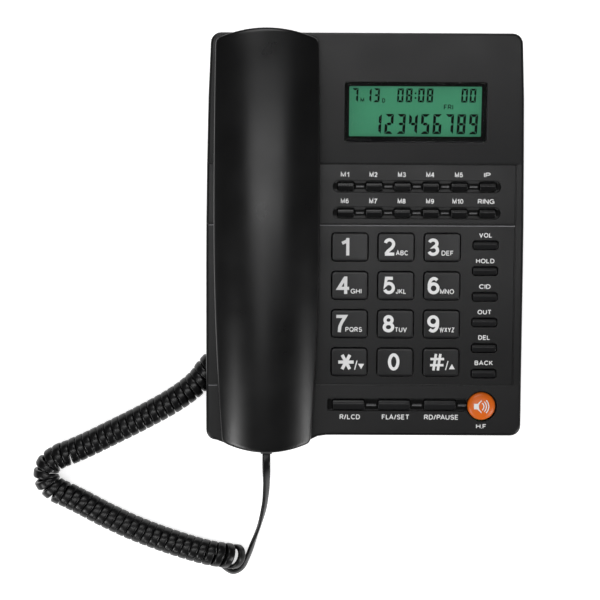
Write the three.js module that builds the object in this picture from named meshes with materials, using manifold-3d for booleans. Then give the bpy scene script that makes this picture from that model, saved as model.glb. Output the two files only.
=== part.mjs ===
// A corded desk telephone: a wedge-shaped base with its keys, a handset in a cradle along the left
// side, and a curly cord. Millimetres, +Z up, the front of the base towards -Y.
import * as THREE from 'three';
import Module from 'manifold-3d';
import { mergeVertices } from 'three/addons/utils/BufferGeometryUtils.js';

const wasm = await Module();
wasm.setup();

// Clearances and one overrun for every cut
const fitGap = 0.3;
const keyGap = 0.45;
const overrun = 5;
const throughCut = 60;
const tiny = 0.001;

// Across the base, from the left edge: rim, handset, dial keys, side buttons, rim
const leftRim = 5;
const keypadGap = 6.8;
const sideGap = 7;
const rightRim = 13.8;
const sideDrawIn = 2.9;
const sideBendShare = 0.424;
const baseCornerRadius = 5.5;

// Along the base, from the front edge: function buttons, dial keys, memory buttons, display
const frontRim = 13.8;
const functionRim = 8.1;
const dialRimFront = 4.85;
const dialRimRear = 4.75;
const memoryRimFront = 6;
const memoryRimRear = 11.7;
const displayRim = 11;
const rearRim = 24.8;

// The bulge of the front edge under the mouthpiece
const bulgeShiftX = -0.6;
const bulgeDepth = 8.2;
const bulgeLeftRadius = 66;
const bulgeRightRadius = 50.5;
const bulgeBlend = 0.8;

// Base: heights and slopes of the top face, from the front to the rear
const frontHeight = 22;
const frontSlope = THREE.MathUtils.degToRad(4);
const keypadSlope = THREE.MathUtils.degToRad(5.5);
const memorySlope = THREE.MathUtils.degToRad(7);
const displaySlope = THREE.MathUtils.degToRad(11);

// Base: walls
const skin = 2.6;
const wall = 2.4;
const bottomZ = 2;
const bottomTuck = 2.6;
const tuckHeight = 9;
const edgeRadius = 1.3;
const grooveWidth = 0.7;
const grooveDepth = 0.55;
const panelLineDepth = 0.4;
const panelLineInset = 4.4;
const panelLineReach = 0.175;
const coverThickness = 2.2;
const bossRadius = 3.3;
const screwRadius = 1.2;
const screwHeadRadius = 2.8;
const screwHeadDepth = 1;
const screwDepth = 9;
const screwRim = 0.9;
const postRadius = 2.6;
const holeSides = 12;

// Feet
const footRadius = 6.5;
const footHeight = 2.5;
const footInsetX = 17;
const footInsetY = 17;
const footInsetFront = 13;
const footSides = 20;
const footDraft = 0.5;

// Dial keys
const dialPitchX = 24.5;
const dialPitchY = 20.4;
const dialKeyWidth = 19;
const dialKeyDepth = 14.7;
const dialKeyRadius = 1.7;
const dialKeyRise = 1.5;
const dialDish = 0.35;
const dialBevel = 0.5;
const bevelShare = 0.25;
const dishSides = 180;

// Memory buttons, in two slots
const memoryPitchX = 15.05;
const memoryPitchY = 13.9;
const memoryButtonWidth = 8.8;
const memoryButtonDepth = 4.7;
const memorySlotLength = 89;
const memorySlotWidth = 6.4;

// Side buttons
const sidePitchY = 13.7;
const sideButtonWidth = 13;
const sideButtonDepth = 4.4;

// Function buttons and the hands-free button
const functionButtonWidth = 17.2;
const functionButtonDepth = 5.4;
const functionSlotRim = 2.7;
const functionSlotReach = 2;
const functionSlotWidth = 6.9;
const functionSlotCorner = 1.4;
const handsfreeRadius = 7.7;
const handsfreeRise = 2.4;
const domePower = 0.7;
const domeSteps = 5;
const domeSides = 24;

// What every small button has
const slotDepth = 1.9;
const slotCornerSteps = 6;
const runnerWidth = 1.1;
const runnerHeight = 1.4;
const smallRise = 0.6;
const ridgeDrop = 0.7;
const ridgeShare = 1 / 7;
const leastCornerShare = 0.25;
const smallCornerRadius = 0.7;
const flangeMargin = 1;
const flangeThickness = 1;
const keyTravel = 1.5;
const boardPlaneDepth = 7.4;
const boardThickness = 1.6;
const matMarginX = 1.2;
const boardMargin = 1.6;
const postInset = 5;

// Display
const displayWidth = 74.8;
const displayDepth = 31.6;
const displayCornerRadius = 1.2;
const windowMargin = 2.5;
const windowThickness = 1.4;
const panelThickness = 3;

// Handset, in its own frame: x across, y along, z up from the parting plane
const handsetOverhang = 9.8;
const handsetMidHalfWidth = 27.6;
const handsetRearHalfWidth = 26.6;
const handsetFrontHalfWidth = 23.6;
const handsetWidestY = 8;
const handsetMidY = 1.1;
const handsetEndSag = 6.2;
const handsetCornerRadius = 3.6;
const handsetRise = 6;
const crownEnd = 11;
const crownMiddle = 17;
const bellyEnd = 4.5;
const bellyMiddle = 8.6;
const shellLip = 1;
const shellWall = 2.2;
const archPower = 2.3;
const endSoftFromShare = 0.955;
const endSoftDropShare = 0.26;

// Ear and mouth cups
const cupDrop = 13;
const cupFloor = 1.8;
const cupDraft = 2.2;
const earCupInset = 29.9;
const earCupRadius = 22.5;
const mouthCupInset = 27.2;
const mouthCupRadius = 21;
const cupDish = 1.2;
const wellGap = 1;
const cupDishShare = 1 / 3;
const troughInset = 3.6;
const troughDrop = 2.5;
const cupSides = 28;

// Sound holes
const earHoleRadius = 1.3;
const earHoleRing = 6.5;
const earHoleCount = 6;
const earHoleSides = 6;
const mouthSlotLength = 9;
const mouthSlotWidth = 1.4;
const mouthSlotPitch = 4;
const mouthSlotCount = 3;

// Capsules
const receiverRadius = 17;
const receiverHeight = 8;
const microphoneRadius = 5;
const microphoneHeight = 6.5;
const capsuleBodyShare = 0.6;
const capsuleRimShare = 0.7;
const capsuleSides = 24;

// Plugs and sockets
const plugWidth = 6.6;
const plugHeight = 6.2;
const plugLength = 13;
const plugClear = 0.4;
const jackWall = 1.2;
const jackLength = 13;
const handsetJackRise = 3.6;
const plugNose = 2.5;
const plugShoulder = 0.3;
const plugNotchWidthShare = 0.5;
const plugNotchLengthShare = 0.45;
const plugNotchHeightShare = 0.3;
const plugCordHeightShare = 0.8;

// The pocket under the left rim, where the curly cord plugs in
const pocketReach = 23.9;
const pocketFrontRim = 17.8;
const pocketLength = 50;
const pocketTopZ = 14.6;
const pocketWall = 1.8;
const basePlugInset = 10.9;
const basePlugZ = 9.4;

// Line socket at the rear
const lineJackInset = 44.4;
const lineJackWidth = 15;
const lineJackHeight = 13;
const lineJackLength = 18;
const lineSocketWidth = 11;
const lineSocketHeight = 7.5;
const lineSocketDepth = 13;

// Hook
const hookInset = 22;
const hookWidth = 9;
const hookDepth = 6;
const hookFlange = 2;
const hookFlangeThickness = 1.6;
const hookTravel = 4;
const hookStem = 5;
const switchWidth = 13;
const switchDepth = 9;
const switchHeight = 7;

// Loudspeaker in the base
const speakerShiftX = -8.8;
const speakerShiftY = -7.1;
const speakerRadius = 25;
const speakerHeight = 11;
const magnetRadius = 14;
const magnetHeight = 6;
const grilleSlotCount = 7;
const grilleSlotWidth = 2;
const grillePitch = 5;
const grilleRadius = 20;

// Curly cord
const wireWidth = 3.7;
const wireThickness = 2.3;
const coilRadius = 6.9;
const coilPitch = 4.4;
const coilLeastGap = 0.55;
const coilStepsPerTurn = 8;
const coilFloorGap = 0.3;
const tailDiameter = 3;
const tailSides = 8;
const tailStepLength = 6;
const axisSteps = 1200;
const bendReach = 30;
const endPhaseShare = 0.375;

// The middle line of the coil, from the pocket in the base round to the handset's side
const coilRoute = [
  [-72.5, -58.5], [-79.3, -62.0], [-84.5, -67.2], [-88.4, -72.6], [-94.5, -78.3], [-104.4, -85.2],
  [-120.1, -93.9], [-135.9, -101.9], [-149.5, -108.6], [-158.5, -112.6], [-165.8, -115.6],
  [-171.3, -120.4], [-172.0, -127.6], [-167.2, -133.2], [-160.5, -136.4], [-151.6, -140.8],
  [-141.1, -146.3], [-125.4, -153.6], [-109.7, -159.6], [-94.9, -164.4], [-84.5, -167.2],
  [-76.6, -168.6],
];
// The flat tail from the coil's last turn to the handset, x, y and z
const handsetTailRoute = [
  [-74.6, -177.6, 2.0], [-70.3, -179.4, 1.9], [-66.0, -176.6, 2.0], [-62.6, -170.6, 2.3],
  [-59.4, -162.2, 3.4], [-55.6, -151.4, 6.6], [-53.0, -140.4, 12.4], [-51.9, -129.0, 20.0],
];

// The base is as wide and as long as what stands in its face, and it is centred on the origin
const dialBlockWidth = 2 * dialPitchX + dialKeyWidth;
const handsetWidth = 2 * handsetMidHalfWidth;
const baseWidth = leftRim + handsetWidth + keypadGap + dialBlockWidth + sideGap + sideButtonWidth + rightRim;
const dialBlockDepth = 3 * dialPitchY + dialKeyDepth;
const functionBand = frontRim + functionButtonDepth + functionRim;
const dialBand = dialRimFront + dialBlockDepth + dialRimRear;
const memoryBand = memoryRimFront + memoryPitchY + memoryRimRear;
const displayBand = displayRim + displayDepth + rearRim;
const baseDepth = functionBand + dialBand + memoryBand + displayBand;
const baseRearY = (baseDepth + bulgeDepth) / 2;
const baseFrontY = baseRearY - baseDepth;
const bandFrontY = baseFrontY + functionBand;
const bandMiddleY = bandFrontY + dialBand;
const bandUpperY = bandMiddleY + memoryBand;
const sideBendY = baseFrontY + sideBendShare * baseDepth;

// Places of what stands in the face
const handsetX = -baseWidth / 2 + leftRim + handsetMidHalfWidth;
const dialX = handsetX + handsetMidHalfWidth + keypadGap + dialBlockWidth / 2;
const dialY = bandFrontY + dialRimFront + dialBlockDepth / 2;
const memoryShiftX = 10.7;
const memoryX = dialX + memoryShiftX;
const memoryRowY = bandMiddleY + memoryRimFront + memoryPitchY;
const sideX = baseWidth / 2 - rightRim - sideButtonWidth / 2;
const sideShiftY = 1.3;
const sideTopY = dialY + 1.5 * dialPitchY + sideShiftY;
const functionShiftX = -0.2;
const functionX = dialX + functionShiftX;
const functionPitchX = dialPitchX;
const functionY = baseFrontY + frontRim + functionButtonDepth / 2;
const handsfreeShiftX = -0.8;
const handsfreeShiftY = -0.7;
const handsfreeX = sideX + handsfreeShiftX;
const handsfreeY = functionY + handsfreeShiftY;
const displayShiftX = 9.5;
const displayX = dialX + displayShiftX;
const displayY = bandUpperY + displayRim + displayDepth / 2;
const panelLineX = baseWidth / 2 - panelLineInset;
const bulgeX = handsetX + bulgeShiftX;
const speakerX = displayX + speakerShiftX;
const speakerY = displayY + speakerShiftY;

// Places along the handset and round its cord
const handsetLength = baseDepth + handsetOverhang;
const earCupY = handsetLength / 2 - earCupInset;
const mouthCupY = -handsetLength / 2 + mouthCupInset;
const hookY = earCupY - hookInset;
const pocketInnerX = -baseWidth / 2 + pocketReach;
const pocketFrontY = baseFrontY + pocketFrontRim;
const pocketRearY = pocketFrontY + pocketLength;
const basePlugX = -baseWidth / 2 + basePlugInset;
const lineJackX = baseWidth / 2 - lineJackInset;

// Colours
const blackPlastic = { color: 0x333335, roughness: 0.45, metalness: 0 };
const handsetPlastic = { color: 0x2a2a2c, roughness: 0.4, metalness: 0 };
const keyPlastic = { color: 0x303032, roughness: 0.4, metalness: 0 };
const orangePlastic = { color: 0xe06a14, roughness: 0.35, metalness: 0 };
const clearPlastic = { color: 0xdfe8e6, roughness: 0.05, metalness: 0 };
const displayGreen = { color: 0x488a6c, roughness: 0.5, metalness: 0 };
const softRubber = { color: 0x1c1c1d, roughness: 0.8, metalness: 0 };
const boardGreen = { color: 0x2c6b3c, roughness: 0.6, metalness: 0 };
const capsuleMetal = { color: 0x9a9a9c, roughness: 0.4, metalness: 0.8 };
const cordPlastic = { color: 0x18181a, roughness: 0.4, metalness: 0 };

const phone = new THREE.Group();

function addPart(name, geometry, finish) {
  const mesh = new THREE.Mesh(geometry, new THREE.MeshStandardMaterial(finish));
  mesh.name = name;
  phone.add(mesh);
  return mesh;
}

// A closed geometry becomes a solid, and a solid becomes a geometry
function solidOf(geometry) {
  const bare = geometry.clone();
  bare.deleteAttribute('normal');
  bare.deleteAttribute('uv');
  const merged = mergeVertices(bare, tiny / 10);
  const mesh = new wasm.Mesh({
    numProp: 3,
    vertProperties: new Float32Array(merged.attributes.position.array),
    triVerts: new Uint32Array(merged.index.array),
  });
  return new wasm.Manifold(mesh);
}

function setMesh(geometry, positions, index) {
  geometry.setAttribute('position', new THREE.Float32BufferAttribute(positions, 3));
  geometry.setIndex(new THREE.Uint32BufferAttribute(index, 1));
}

function geometryOf(solid) {
  const mesh = solid.getMesh();
  const geometry = new THREE.BufferGeometry();
  setMesh(geometry, mesh.vertProperties, mesh.triVerts);
  geometry.computeVertexNormals();
  return geometry;
}

// Plain shapes
function box(width, depth, height, x, y, z) {
  return new THREE.BoxGeometry(width, depth, height).translate(x, y, z);
}

function boxBetween(low, high) {
  const size = high.map((value, i) => value - low[i]);
  const middle = high.map((value, i) => (value + low[i]) / 2);
  return box(...size, ...middle);
}

function upright(radiusTop, radiusBottom, height, sides) {
  return new THREE.CylinderGeometry(radiusTop, radiusBottom, height, sides).rotateX(Math.PI / 2);
}

function roundedOutline(width, depth, radius, steps) {
  const points = [];
  const corners = [[1, -1, -1], [1, 1, 0], [-1, 1, 1], [-1, -1, 2]];
  for (const [sx, sy, start] of corners) {
    for (let i = 0; i <= steps; i += 1) {
      const angle = (Math.PI / 2) * (start + i / steps);
      const cx = sx * (width / 2 - radius);
      const cy = sy * (depth / 2 - radius);
      const point = new THREE.Vector2(cx + radius * Math.cos(angle), cy + radius * Math.sin(angle));
      const last = points[points.length - 1];
      if (!last || last.distanceTo(point) > tiny) points.push(point);
    }
  }
  if (points[0].distanceTo(points[points.length - 1]) < tiny) points.pop();
  return points;
}

function plate(points, z0, z1) {
  const shape = new THREE.Shape(points);
  return new THREE.ExtrudeGeometry(shape, { depth: z1 - z0, bevelEnabled: false }).translate(0, 0, z0);
}

// A profile in y and z, carried along x
function sweepX(points, x0, x1) {
  const shape = new THREE.Shape(points.map(([y, z]) => new THREE.Vector2(y, z)));
  const geometry = new THREE.ExtrudeGeometry(shape, { depth: x1 - x0, bevelEnabled: false });
  const turn = new THREE.Matrix4().makeBasis(
    new THREE.Vector3(0, 1, 0), new THREE.Vector3(0, 0, 1), new THREE.Vector3(1, 0, 0));
  return geometry.applyMatrix4(turn).translate(x0, 0, 0);
}

// The top face of the base: its height and slope at any y
const bands = [
  { from: baseFrontY, slope: frontSlope },
  { from: bandFrontY, slope: keypadSlope },
  { from: bandMiddleY, slope: memorySlope },
  { from: bandUpperY, slope: displaySlope },
];

function bandAt(y) {
  let found = bands[0];
  for (const band of bands) {
    if (y >= band.from) found = band;
  }
  return found;
}

function topZ(y) {
  let height = frontHeight;
  for (let i = 0; i < bands.length; i += 1) {
    const last = i === bands.length - 1;
    const end = last ? y : Math.min(y, bands[i + 1].from);
    if (i === 0 || y > bands[i].from) height += (end - bands[i].from) * Math.tan(bands[i].slope);
  }
  return height;
}

// Moves a geometry from a flat drawing onto the top face at x, y
function onFace(geometry, x, y) {
  return geometry.rotateX(bandAt(y).slope).translate(x, y, topZ(y));
}

// The base's outline in plan, counter-clockwise, with points where the bands meet the sides
function halfWidthAt(y) {
  const share = Math.max(0, (y - sideBendY) / (baseRearY - sideBendY));
  return baseWidth / 2 - sideDrawIn * share * share;
}

function frontEdgeY(x) {
  const radius = x < bulgeX ? bulgeLeftRadius : bulgeRightRadius;
  const depth = bulgeDepth - ((x - bulgeX) * (x - bulgeX)) / (2 * radius);
  return baseFrontY - (depth + Math.hypot(depth, bulgeBlend)) / 2;
}

const sideStations = [bandFrontY, sideBendY, bandMiddleY, bandUpperY, (bandUpperY + baseRearY) / 2];

function baseOutline() {
  const points = [];
  const arc = (cx, cy, start, steps) => {
    for (let i = 0; i <= steps; i += 1) {
      const angle = (Math.PI / 2) * (start + i / steps);
      const x = cx + baseCornerRadius * Math.cos(angle);
      points.push({ x, y: cy + baseCornerRadius * Math.sin(angle) });
    }
  };
  const cornerSteps = 5;
  const leftX = -baseWidth / 2 + baseCornerRadius;
  arc(leftX, frontEdgeY(leftX) + baseCornerRadius, 2, cornerSteps);
  const bulgeSteps = 14;
  const bulgeEndX = bulgeX + Math.sqrt(2 * bulgeRightRadius * bulgeDepth) + bulgeDepth;
  for (let i = 1; i <= bulgeSteps; i += 1) {
    const x = leftX + ((bulgeEndX - leftX) * i) / bulgeSteps;
    points.push({ x, y: frontEdgeY(x) });
  }
  const rightX = baseWidth / 2 - baseCornerRadius;
  arc(rightX, frontEdgeY(rightX) + baseCornerRadius, 3, cornerSteps);
  for (const y of sideStations) points.push({ x: halfWidthAt(y), y, station: true });
  const rearX = halfWidthAt(baseRearY) - baseCornerRadius;
  arc(rearX, baseRearY - baseCornerRadius, 0, cornerSteps);
  arc(-rearX, baseRearY - baseCornerRadius, 1, cornerSteps);
  for (const y of [...sideStations].reverse()) points.push({ x: -halfWidthAt(y), y, station: true });
  return points;
}

const outline = baseOutline();

function insetOutline(inset) {
  const count = outline.length;
  return outline.map((point, i) => {
    const before = outline[(i + count - 1) % count];
    const after = outline[(i + 1) % count];
    const along = new THREE.Vector2(after.x - before.x, after.y - before.y).normalize();
    const x = point.x - along.y * inset;
    const y = point.station ? point.y : point.y + along.x * inset;
    return { x, y };
  });
}

// A solid between rings that all have the same number of points. The caps are cut at the bands, so
// that they follow the bends of the top face.
function bandedCap(ring, first, flip) {
  const triangles = [];
  const stationRows = [bandFrontY, bandMiddleY, bandUpperY];
  const rightIndex = stationRows.map((y) => outline.findIndex((p) => p.station && p.y === y && p.x > 0));
  const leftIndex = stationRows.map((y) => outline.findIndex((p) => p.station && p.y === y && p.x < 0));
  const between = (from, to) => {
    const list = [];
    for (let i = from; i !== (to + 1) % ring.length; i = (i + 1) % ring.length) list.push(i);
    return list;
  };
  const cells = [between(leftIndex[0], rightIndex[0])];
  for (let i = 1; i < stationRows.length; i += 1) {
    cells.push([...between(rightIndex[i - 1], rightIndex[i]), ...between(leftIndex[i], leftIndex[i - 1])]);
  }
  cells.push(between(rightIndex[2], leftIndex[2]));
  for (const cell of cells) {
    const flat = cell.map((i) => new THREE.Vector2(ring[i].x, ring[i].y));
    for (const [a, b, c] of THREE.ShapeUtils.triangulateShape(flat, [])) {
      const face = [first + cell[a], first + cell[b], first + cell[c]];
      triangles.push(...(flip ? face.reverse() : face));
    }
  }
  return triangles;
}

function bandedLoft(rings) {
  const positions = [];
  const index = [];
  const count = rings[0].length;
  for (const ring of rings) for (const p of ring) positions.push(p.x, p.y, p.z);
  for (let r = 0; r < rings.length - 1; r += 1) {
    for (let i = 0; i < count; i += 1) {
      const j = (i + 1) % count;
      const a = r * count + i;
      const b = r * count + j;
      index.push(a, b, b + count, a, b + count, a + count);
    }
  }
  index.push(...bandedCap(rings[0], 0, true));
  index.push(...bandedCap(rings[rings.length - 1], (rings.length - 1) * count, false));
  const geometry = new THREE.BufferGeometry();
  setMesh(geometry, positions, index);
  return geometry;
}

function ringAt(inset, heightOf) {
  return insetOutline(inset).map((p) => ({ x: p.x, y: p.y, z: heightOf(p.y) }));
}

function baseBlock() {
  const soft = edgeRadius * (1 - Math.SQRT1_2);
  return bandedLoft([
    ringAt(bottomTuck, () => bottomZ),
    ringAt(0, () => bottomZ + tuckHeight),
    ringAt(0, (y) => topZ(y) - edgeRadius),
    ringAt(soft, (y) => topZ(y) - soft),
    ringAt(edgeRadius, (y) => topZ(y)),
  ]);
}

function baseCavity() {
  return bandedLoft([
    ringAt(bottomTuck + wall, () => bottomZ - overrun),
    ringAt(bottomTuck + wall, () => bottomZ),
    ringAt(wall, () => bottomZ + tuckHeight),
    ringAt(wall, (y) => topZ(y) - skin),
  ]);
}

// The handset's frame: tilted along the line from the front edge of the top face to the rear
const cradleTilt = Math.atan2(topZ(baseRearY) - frontHeight, baseRearY - baseFrontY);
const handsetFrame = new THREE.Matrix4()
  .makeRotationX(cradleTilt)
  .setPosition(
    handsetX, handsetMidY,
    frontHeight + (handsetMidY - baseFrontY) * Math.tan(cradleTilt) + handsetRise);

function handsetHalfWidth(y) {
  const half = handsetLength / 2;
  const end = y > handsetWidestY ? handsetRearHalfWidth : handsetFrontHalfWidth;
  const span = y > handsetWidestY ? half - handsetWidestY : half + handsetWidestY;
  const share = (y - handsetWidestY) / span;
  return handsetMidHalfWidth + (end - handsetMidHalfWidth) * share * share;
}

function handsetEnd(x, halfWidth, radius) {
  const sag = handsetEndSag * (x / handsetMidHalfWidth) * (x / handsetMidHalfWidth);
  const past = Math.max(0, Math.abs(x) - (halfWidth - radius));
  return sag + radius - Math.sqrt(Math.max(0, radius * radius - past * past));
}

const acrossShares = [-1, -0.97, -0.88, -0.74, -0.56, -0.36, -0.15, 0.15, 0.36, 0.56, 0.74, 0.88, 0.97, 1];
const alongShares = [-1, -0.985, -0.955, -0.82, -0.6, -0.35, -0.1, 0.1, 0.35, 0.6, 0.82, 0.955, 0.985, 1];

// How far the crown is rounded down where it meets the ends
function endSoftness(along, drop) {
  const past = Math.max(0, (Math.abs(along) - endSoftFromShare) / (1 - endSoftFromShare));
  return 1 - drop * (1 - Math.sqrt(Math.max(0, 1 - past * past)));
}

// A slab with the handset's outline: flat on one side, arched on the other
function handsetSlab(inset, base, lip, endHeight, middleHeight, side, drop = 0) {
  const half = handsetLength / 2 - inset;
  const radius = Math.max(handsetCornerRadius - inset, handsetCornerRadius / 2);
  const arched = [];
  const flat = [];
  for (const along of alongShares) {
    for (const across of acrossShares) {
      const halfWidth = handsetHalfWidth(along * half) - inset;
      const x = across * halfWidth;
      const y = along * (half - handsetEnd(x, halfWidth, radius));
      const arch = (1 - Math.abs(across) ** archPower) ** (1 / archPower);
      const height = endHeight + (middleHeight - endHeight) * (1 - along * along);
      const rise = (height - lip) * arch * endSoftness(along, drop);
      arched.push([x, y, side * (base + lip + rise)]);
      flat.push([x, y, side * base]);
    }
  }
  return gridSolid(arched, flat, alongShares.length, acrossShares.length, side > 0);
}

// A straight-sided plate with the handset's outline
function handsetPlate(inset, z0, z1) {
  const half = handsetLength / 2 - inset;
  const radius = Math.max(handsetCornerRadius - inset, handsetCornerRadius / 2);
  const at = (along, across) => {
    const halfWidth = handsetHalfWidth(along * half) - inset;
    const x = across * halfWidth;
    return new THREE.Vector2(x, along * (half - handsetEnd(x, halfWidth, radius)));
  };
  const inner = alongShares.filter((share) => Math.abs(share) < endSoftFromShare);
  const points = [
    ...acrossShares.map((share) => at(-1, share)),
    ...inner.map((share) => at(share, 1)),
    ...[...acrossShares].reverse().map((share) => at(1, share)),
    ...[...inner].reverse().map((share) => at(share, -1)),
  ];
  return plate(points, z0, z1);
}

function gridSolid(upper, lower, rows, columns, up) {
  const index = [];
  const shift = rows * columns;
  const quad = (a, b, c, d) => index.push(...(up ? [a, b, c, a, c, d] : [a, c, b, a, d, c]));
  for (let r = 0; r < rows - 1; r += 1) {
    for (let c = 0; c < columns - 1; c += 1) {
      const a = r * columns + c;
      quad(a, a + 1, a + 1 + columns, a + columns);
      quad(shift + a, shift + a + columns, shift + a + 1 + columns, shift + a + 1);
    }
  }
  for (let r = 0; r < rows - 1; r += 1) {
    const left = r * columns;
    const right = left + columns - 1;
    quad(left, left + columns, shift + left + columns, shift + left);
    quad(right + columns, right, shift + right, shift + right + columns);
  }
  for (let c = 0; c < columns - 1; c += 1) {
    const front = c;
    const rear = (rows - 1) * columns + c;
    quad(front + 1, front, shift + front, shift + front + 1);
    quad(rear, rear + 1, shift + rear + 1, shift + rear);
  }
  const geometry = new THREE.BufferGeometry();
  setMesh(geometry, [...upper, ...lower].flat(), index);
  return geometry;
}

function inHandset(geometry) {
  return geometry.applyMatrix4(handsetFrame);
}

// A cup that narrows downwards, with its top at z = top and its face at z = -cupDrop - extra
function cup(radius, y, grow, extra, top) {
  const height = top + cupDrop + extra;
  const body = upright(radius + grow, radius + grow - cupDraft, height, cupSides);
  return body.translate(0, y, top - height / 2);
}

function handsetOuterShell() {
  const outer = solidOf(handsetSlab(
    0, fitGap / 2, shellLip, crownEnd, crownMiddle, 1, endSoftDropShare));
  const hollow = handsetSlab(
    shellWall, -overrun, shellLip + overrun, crownEnd - shellWall + overrun,
    crownMiddle - shellWall + overrun, 1);
  const mouth = box(
    plugWidth + 2 * plugClear, 4 * overrun, plugHeight + 2 * plugClear,
    0, -handsetLength / 2, handsetJackRise);
  return inHandset(geometryOf(outer.subtract(solidOf(hollow)).subtract(solidOf(mouth))));
}

function handsetInnerShell() {
  const outer = solidOf(handsetSlab(
    0, fitGap / 2, shellLip, bellyEnd, bellyMiddle, -1, endSoftDropShare));
  const cups = [
    cup(earCupRadius, earCupY, 0, 0, -shellWall),
    cup(mouthCupRadius, mouthCupY, 0, 0, -shellWall),
  ];
  let shell = cups.reduce((sum, part) => sum.add(solidOf(part)), outer);
  const hollow = handsetSlab(
    shellWall, -overrun, shellLip + overrun, bellyEnd - shellWall + overrun,
    bellyMiddle - shellWall + overrun, -1);
  shell = shell.subtract(solidOf(hollow));
  shell = shell.subtract(solidOf(cup(earCupRadius, earCupY, -shellWall, -cupFloor, 0)));
  shell = shell.subtract(solidOf(cup(mouthCupRadius, mouthCupY, -shellWall, -cupFloor, 0)));
  for (const [radius, y] of [[earCupRadius, earCupY], [mouthCupRadius, mouthCupY]]) {
    const floorRadius = cupDishShare * radius;
    const flare = radius - 2 * cupDraft - floorRadius;
    const dish = upright(floorRadius, floorRadius + 2 * flare, 2 * cupDish, cupSides);
    shell = shell.subtract(solidOf(dish.translate(0, y, -cupDrop)));
  }
  for (let i = 0; i <= earHoleCount; i += 1) {
    const ring = i === earHoleCount ? 0 : earHoleRing;
    const angle = (2 * Math.PI * i) / earHoleCount;
    const hole = upright(earHoleRadius, earHoleRadius, 2 * overrun, earHoleSides);
    hole.translate(ring * Math.cos(angle), earCupY + ring * Math.sin(angle), -cupDrop);
    shell = shell.subtract(solidOf(hole));
  }
  for (let i = 0; i < mouthSlotCount; i += 1) {
    const y = mouthCupY + (i - (mouthSlotCount - 1) / 2) * mouthSlotPitch;
    const slot = box(mouthSlotLength, mouthSlotWidth, 2 * overrun, 0, y, -cupDrop);
    shell = shell.subtract(solidOf(slot));
  }
  return inHandset(geometryOf(shell));
}

function capsule(radius, height, y) {
  const floor = -cupDrop + cupFloor + fitGap;
  const bodyHeight = capsuleBodyShare * height;
  const rimRadius = capsuleRimShare * radius;
  const body = upright(radius, radius, bodyHeight, capsuleSides).translate(0, y, floor + bodyHeight / 2);
  const rim = upright(rimRadius, rimRadius, height, capsuleSides).translate(0, y, floor + height / 2);
  return inHandset(geometryOf(solidOf(body).add(solidOf(rim))));
}

// An open socket: a block with a blind opening in the face towards -Y
function socketBlock(width, height, length, openWidth, openHeight, openDepth) {
  const block = solidOf(box(width, length, height, 0, length / 2, 0));
  const opening = box(openWidth, 2 * openDepth, openHeight, 0, 0, 0);
  return block.subtract(solidOf(opening));
}

function plugSocket() {
  const width = plugWidth + 2 * plugClear + 2 * jackWall;
  const height = plugHeight + 2 * plugClear + 2 * jackWall;
  return geometryOf(socketBlock(
    width, height, jackLength, plugWidth + 2 * plugClear, plugHeight + 2 * plugClear,
    jackLength - jackWall));
}

// A plug with a spring latch under it, its cord end towards -Y and its nose towards +Y
function modularPlug() {
  const body = solidOf(box(plugWidth, plugLength, plugHeight, 0, plugLength / 2, 0));
  const notch = box(
    plugNotchWidthShare * plugWidth, plugNotchLengthShare * plugLength, plugNotchHeightShare * plugHeight,
    0, plugLength, -plugHeight / 2);
  const cordEnd = box(plugWidth - 2 * plugShoulder, 2 * plugNose, plugCordHeightShare * plugHeight, 0, 0, 0);
  return geometryOf(body.subtract(solidOf(notch)).add(solidOf(cordEnd)));
}

// Top housing
function handsetRecess(extra) {
  const trough = handsetPlate(troughInset - extra, -handsetRise - troughDrop - extra, 2 * overrun);
  const wells = [
    cup(earCupRadius, earCupY, wellGap + extra, fitGap + extra, 2 * overrun),
    cup(mouthCupRadius, mouthCupY, wellGap + extra, fitGap + extra, 2 * overrun),
  ];
  let recess = solidOf(inHandset(trough));
  for (const well of wells) recess = recess.add(solidOf(inHandset(well)));
  return recess;
}

function hookHole(clear) {
  const hole = box(hookWidth + 2 * clear, hookDepth + 2 * clear, throughCut, 0, hookY, -throughCut / 2);
  return solidOf(inHandset(hole));
}

function pocketBox(grow) {
  return solidOf(boxBetween(
    [-baseWidth / 2 - overrun, pocketFrontY - grow, bottomZ - 2 * overrun],
    [pocketInnerX + grow, pocketRearY + grow, pocketTopZ + grow]));
}

const keyHoles = [];
const slotCuts = [];

// A slot from leftX to rightX with a runner bar in each of the spans between its buttons
function slotCut(leftX, rightX, y, width, corner, spans) {
  const x = (leftX + rightX) / 2;
  const points = roundedOutline(rightX - leftX, width, corner, slotCornerSteps);
  let cut = solidOf(onFace(plate(points, -slotDepth, overrun), x, y));
  for (const [from, to] of spans) {
    const bar = box(to - from, runnerWidth, 2 * runnerHeight, (from + to) / 2 - x, 0, -slotDepth);
    cut = cut.subtract(solidOf(onFace(bar, x, y)));
  }
  slotCuts.push(cut);
}

function spansBetween(buttonXs, buttonWidth) {
  const reach = buttonWidth / 2 + runnerWidth;
  return buttonXs.slice(1).map((x, i) => [buttonXs[i] + reach, x - reach]);
}

function keyHole(x, y, width, depth, radius, steps) {
  const points = roundedOutline(width + 2 * keyGap, depth + 2 * keyGap, radius + keyGap, steps);
  keyHoles.push(solidOf(onFace(plate(points, -skin - overrun / 2, overrun), x, y)));
}

// A key: a worked cap that stands in a flange, which stays under the skin
const flangeTop = -skin - fitGap;
const capFoot = flangeTop - flangeThickness / 2;

function keyBody(width, depth, radius, cap) {
  const flange = roundedOutline(width + 2 * flangeMargin, depth + 2 * flangeMargin, radius, 1);
  return geometryOf(solidOf(plate(flange, flangeTop - flangeThickness, flangeTop)).add(cap));
}

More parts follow.
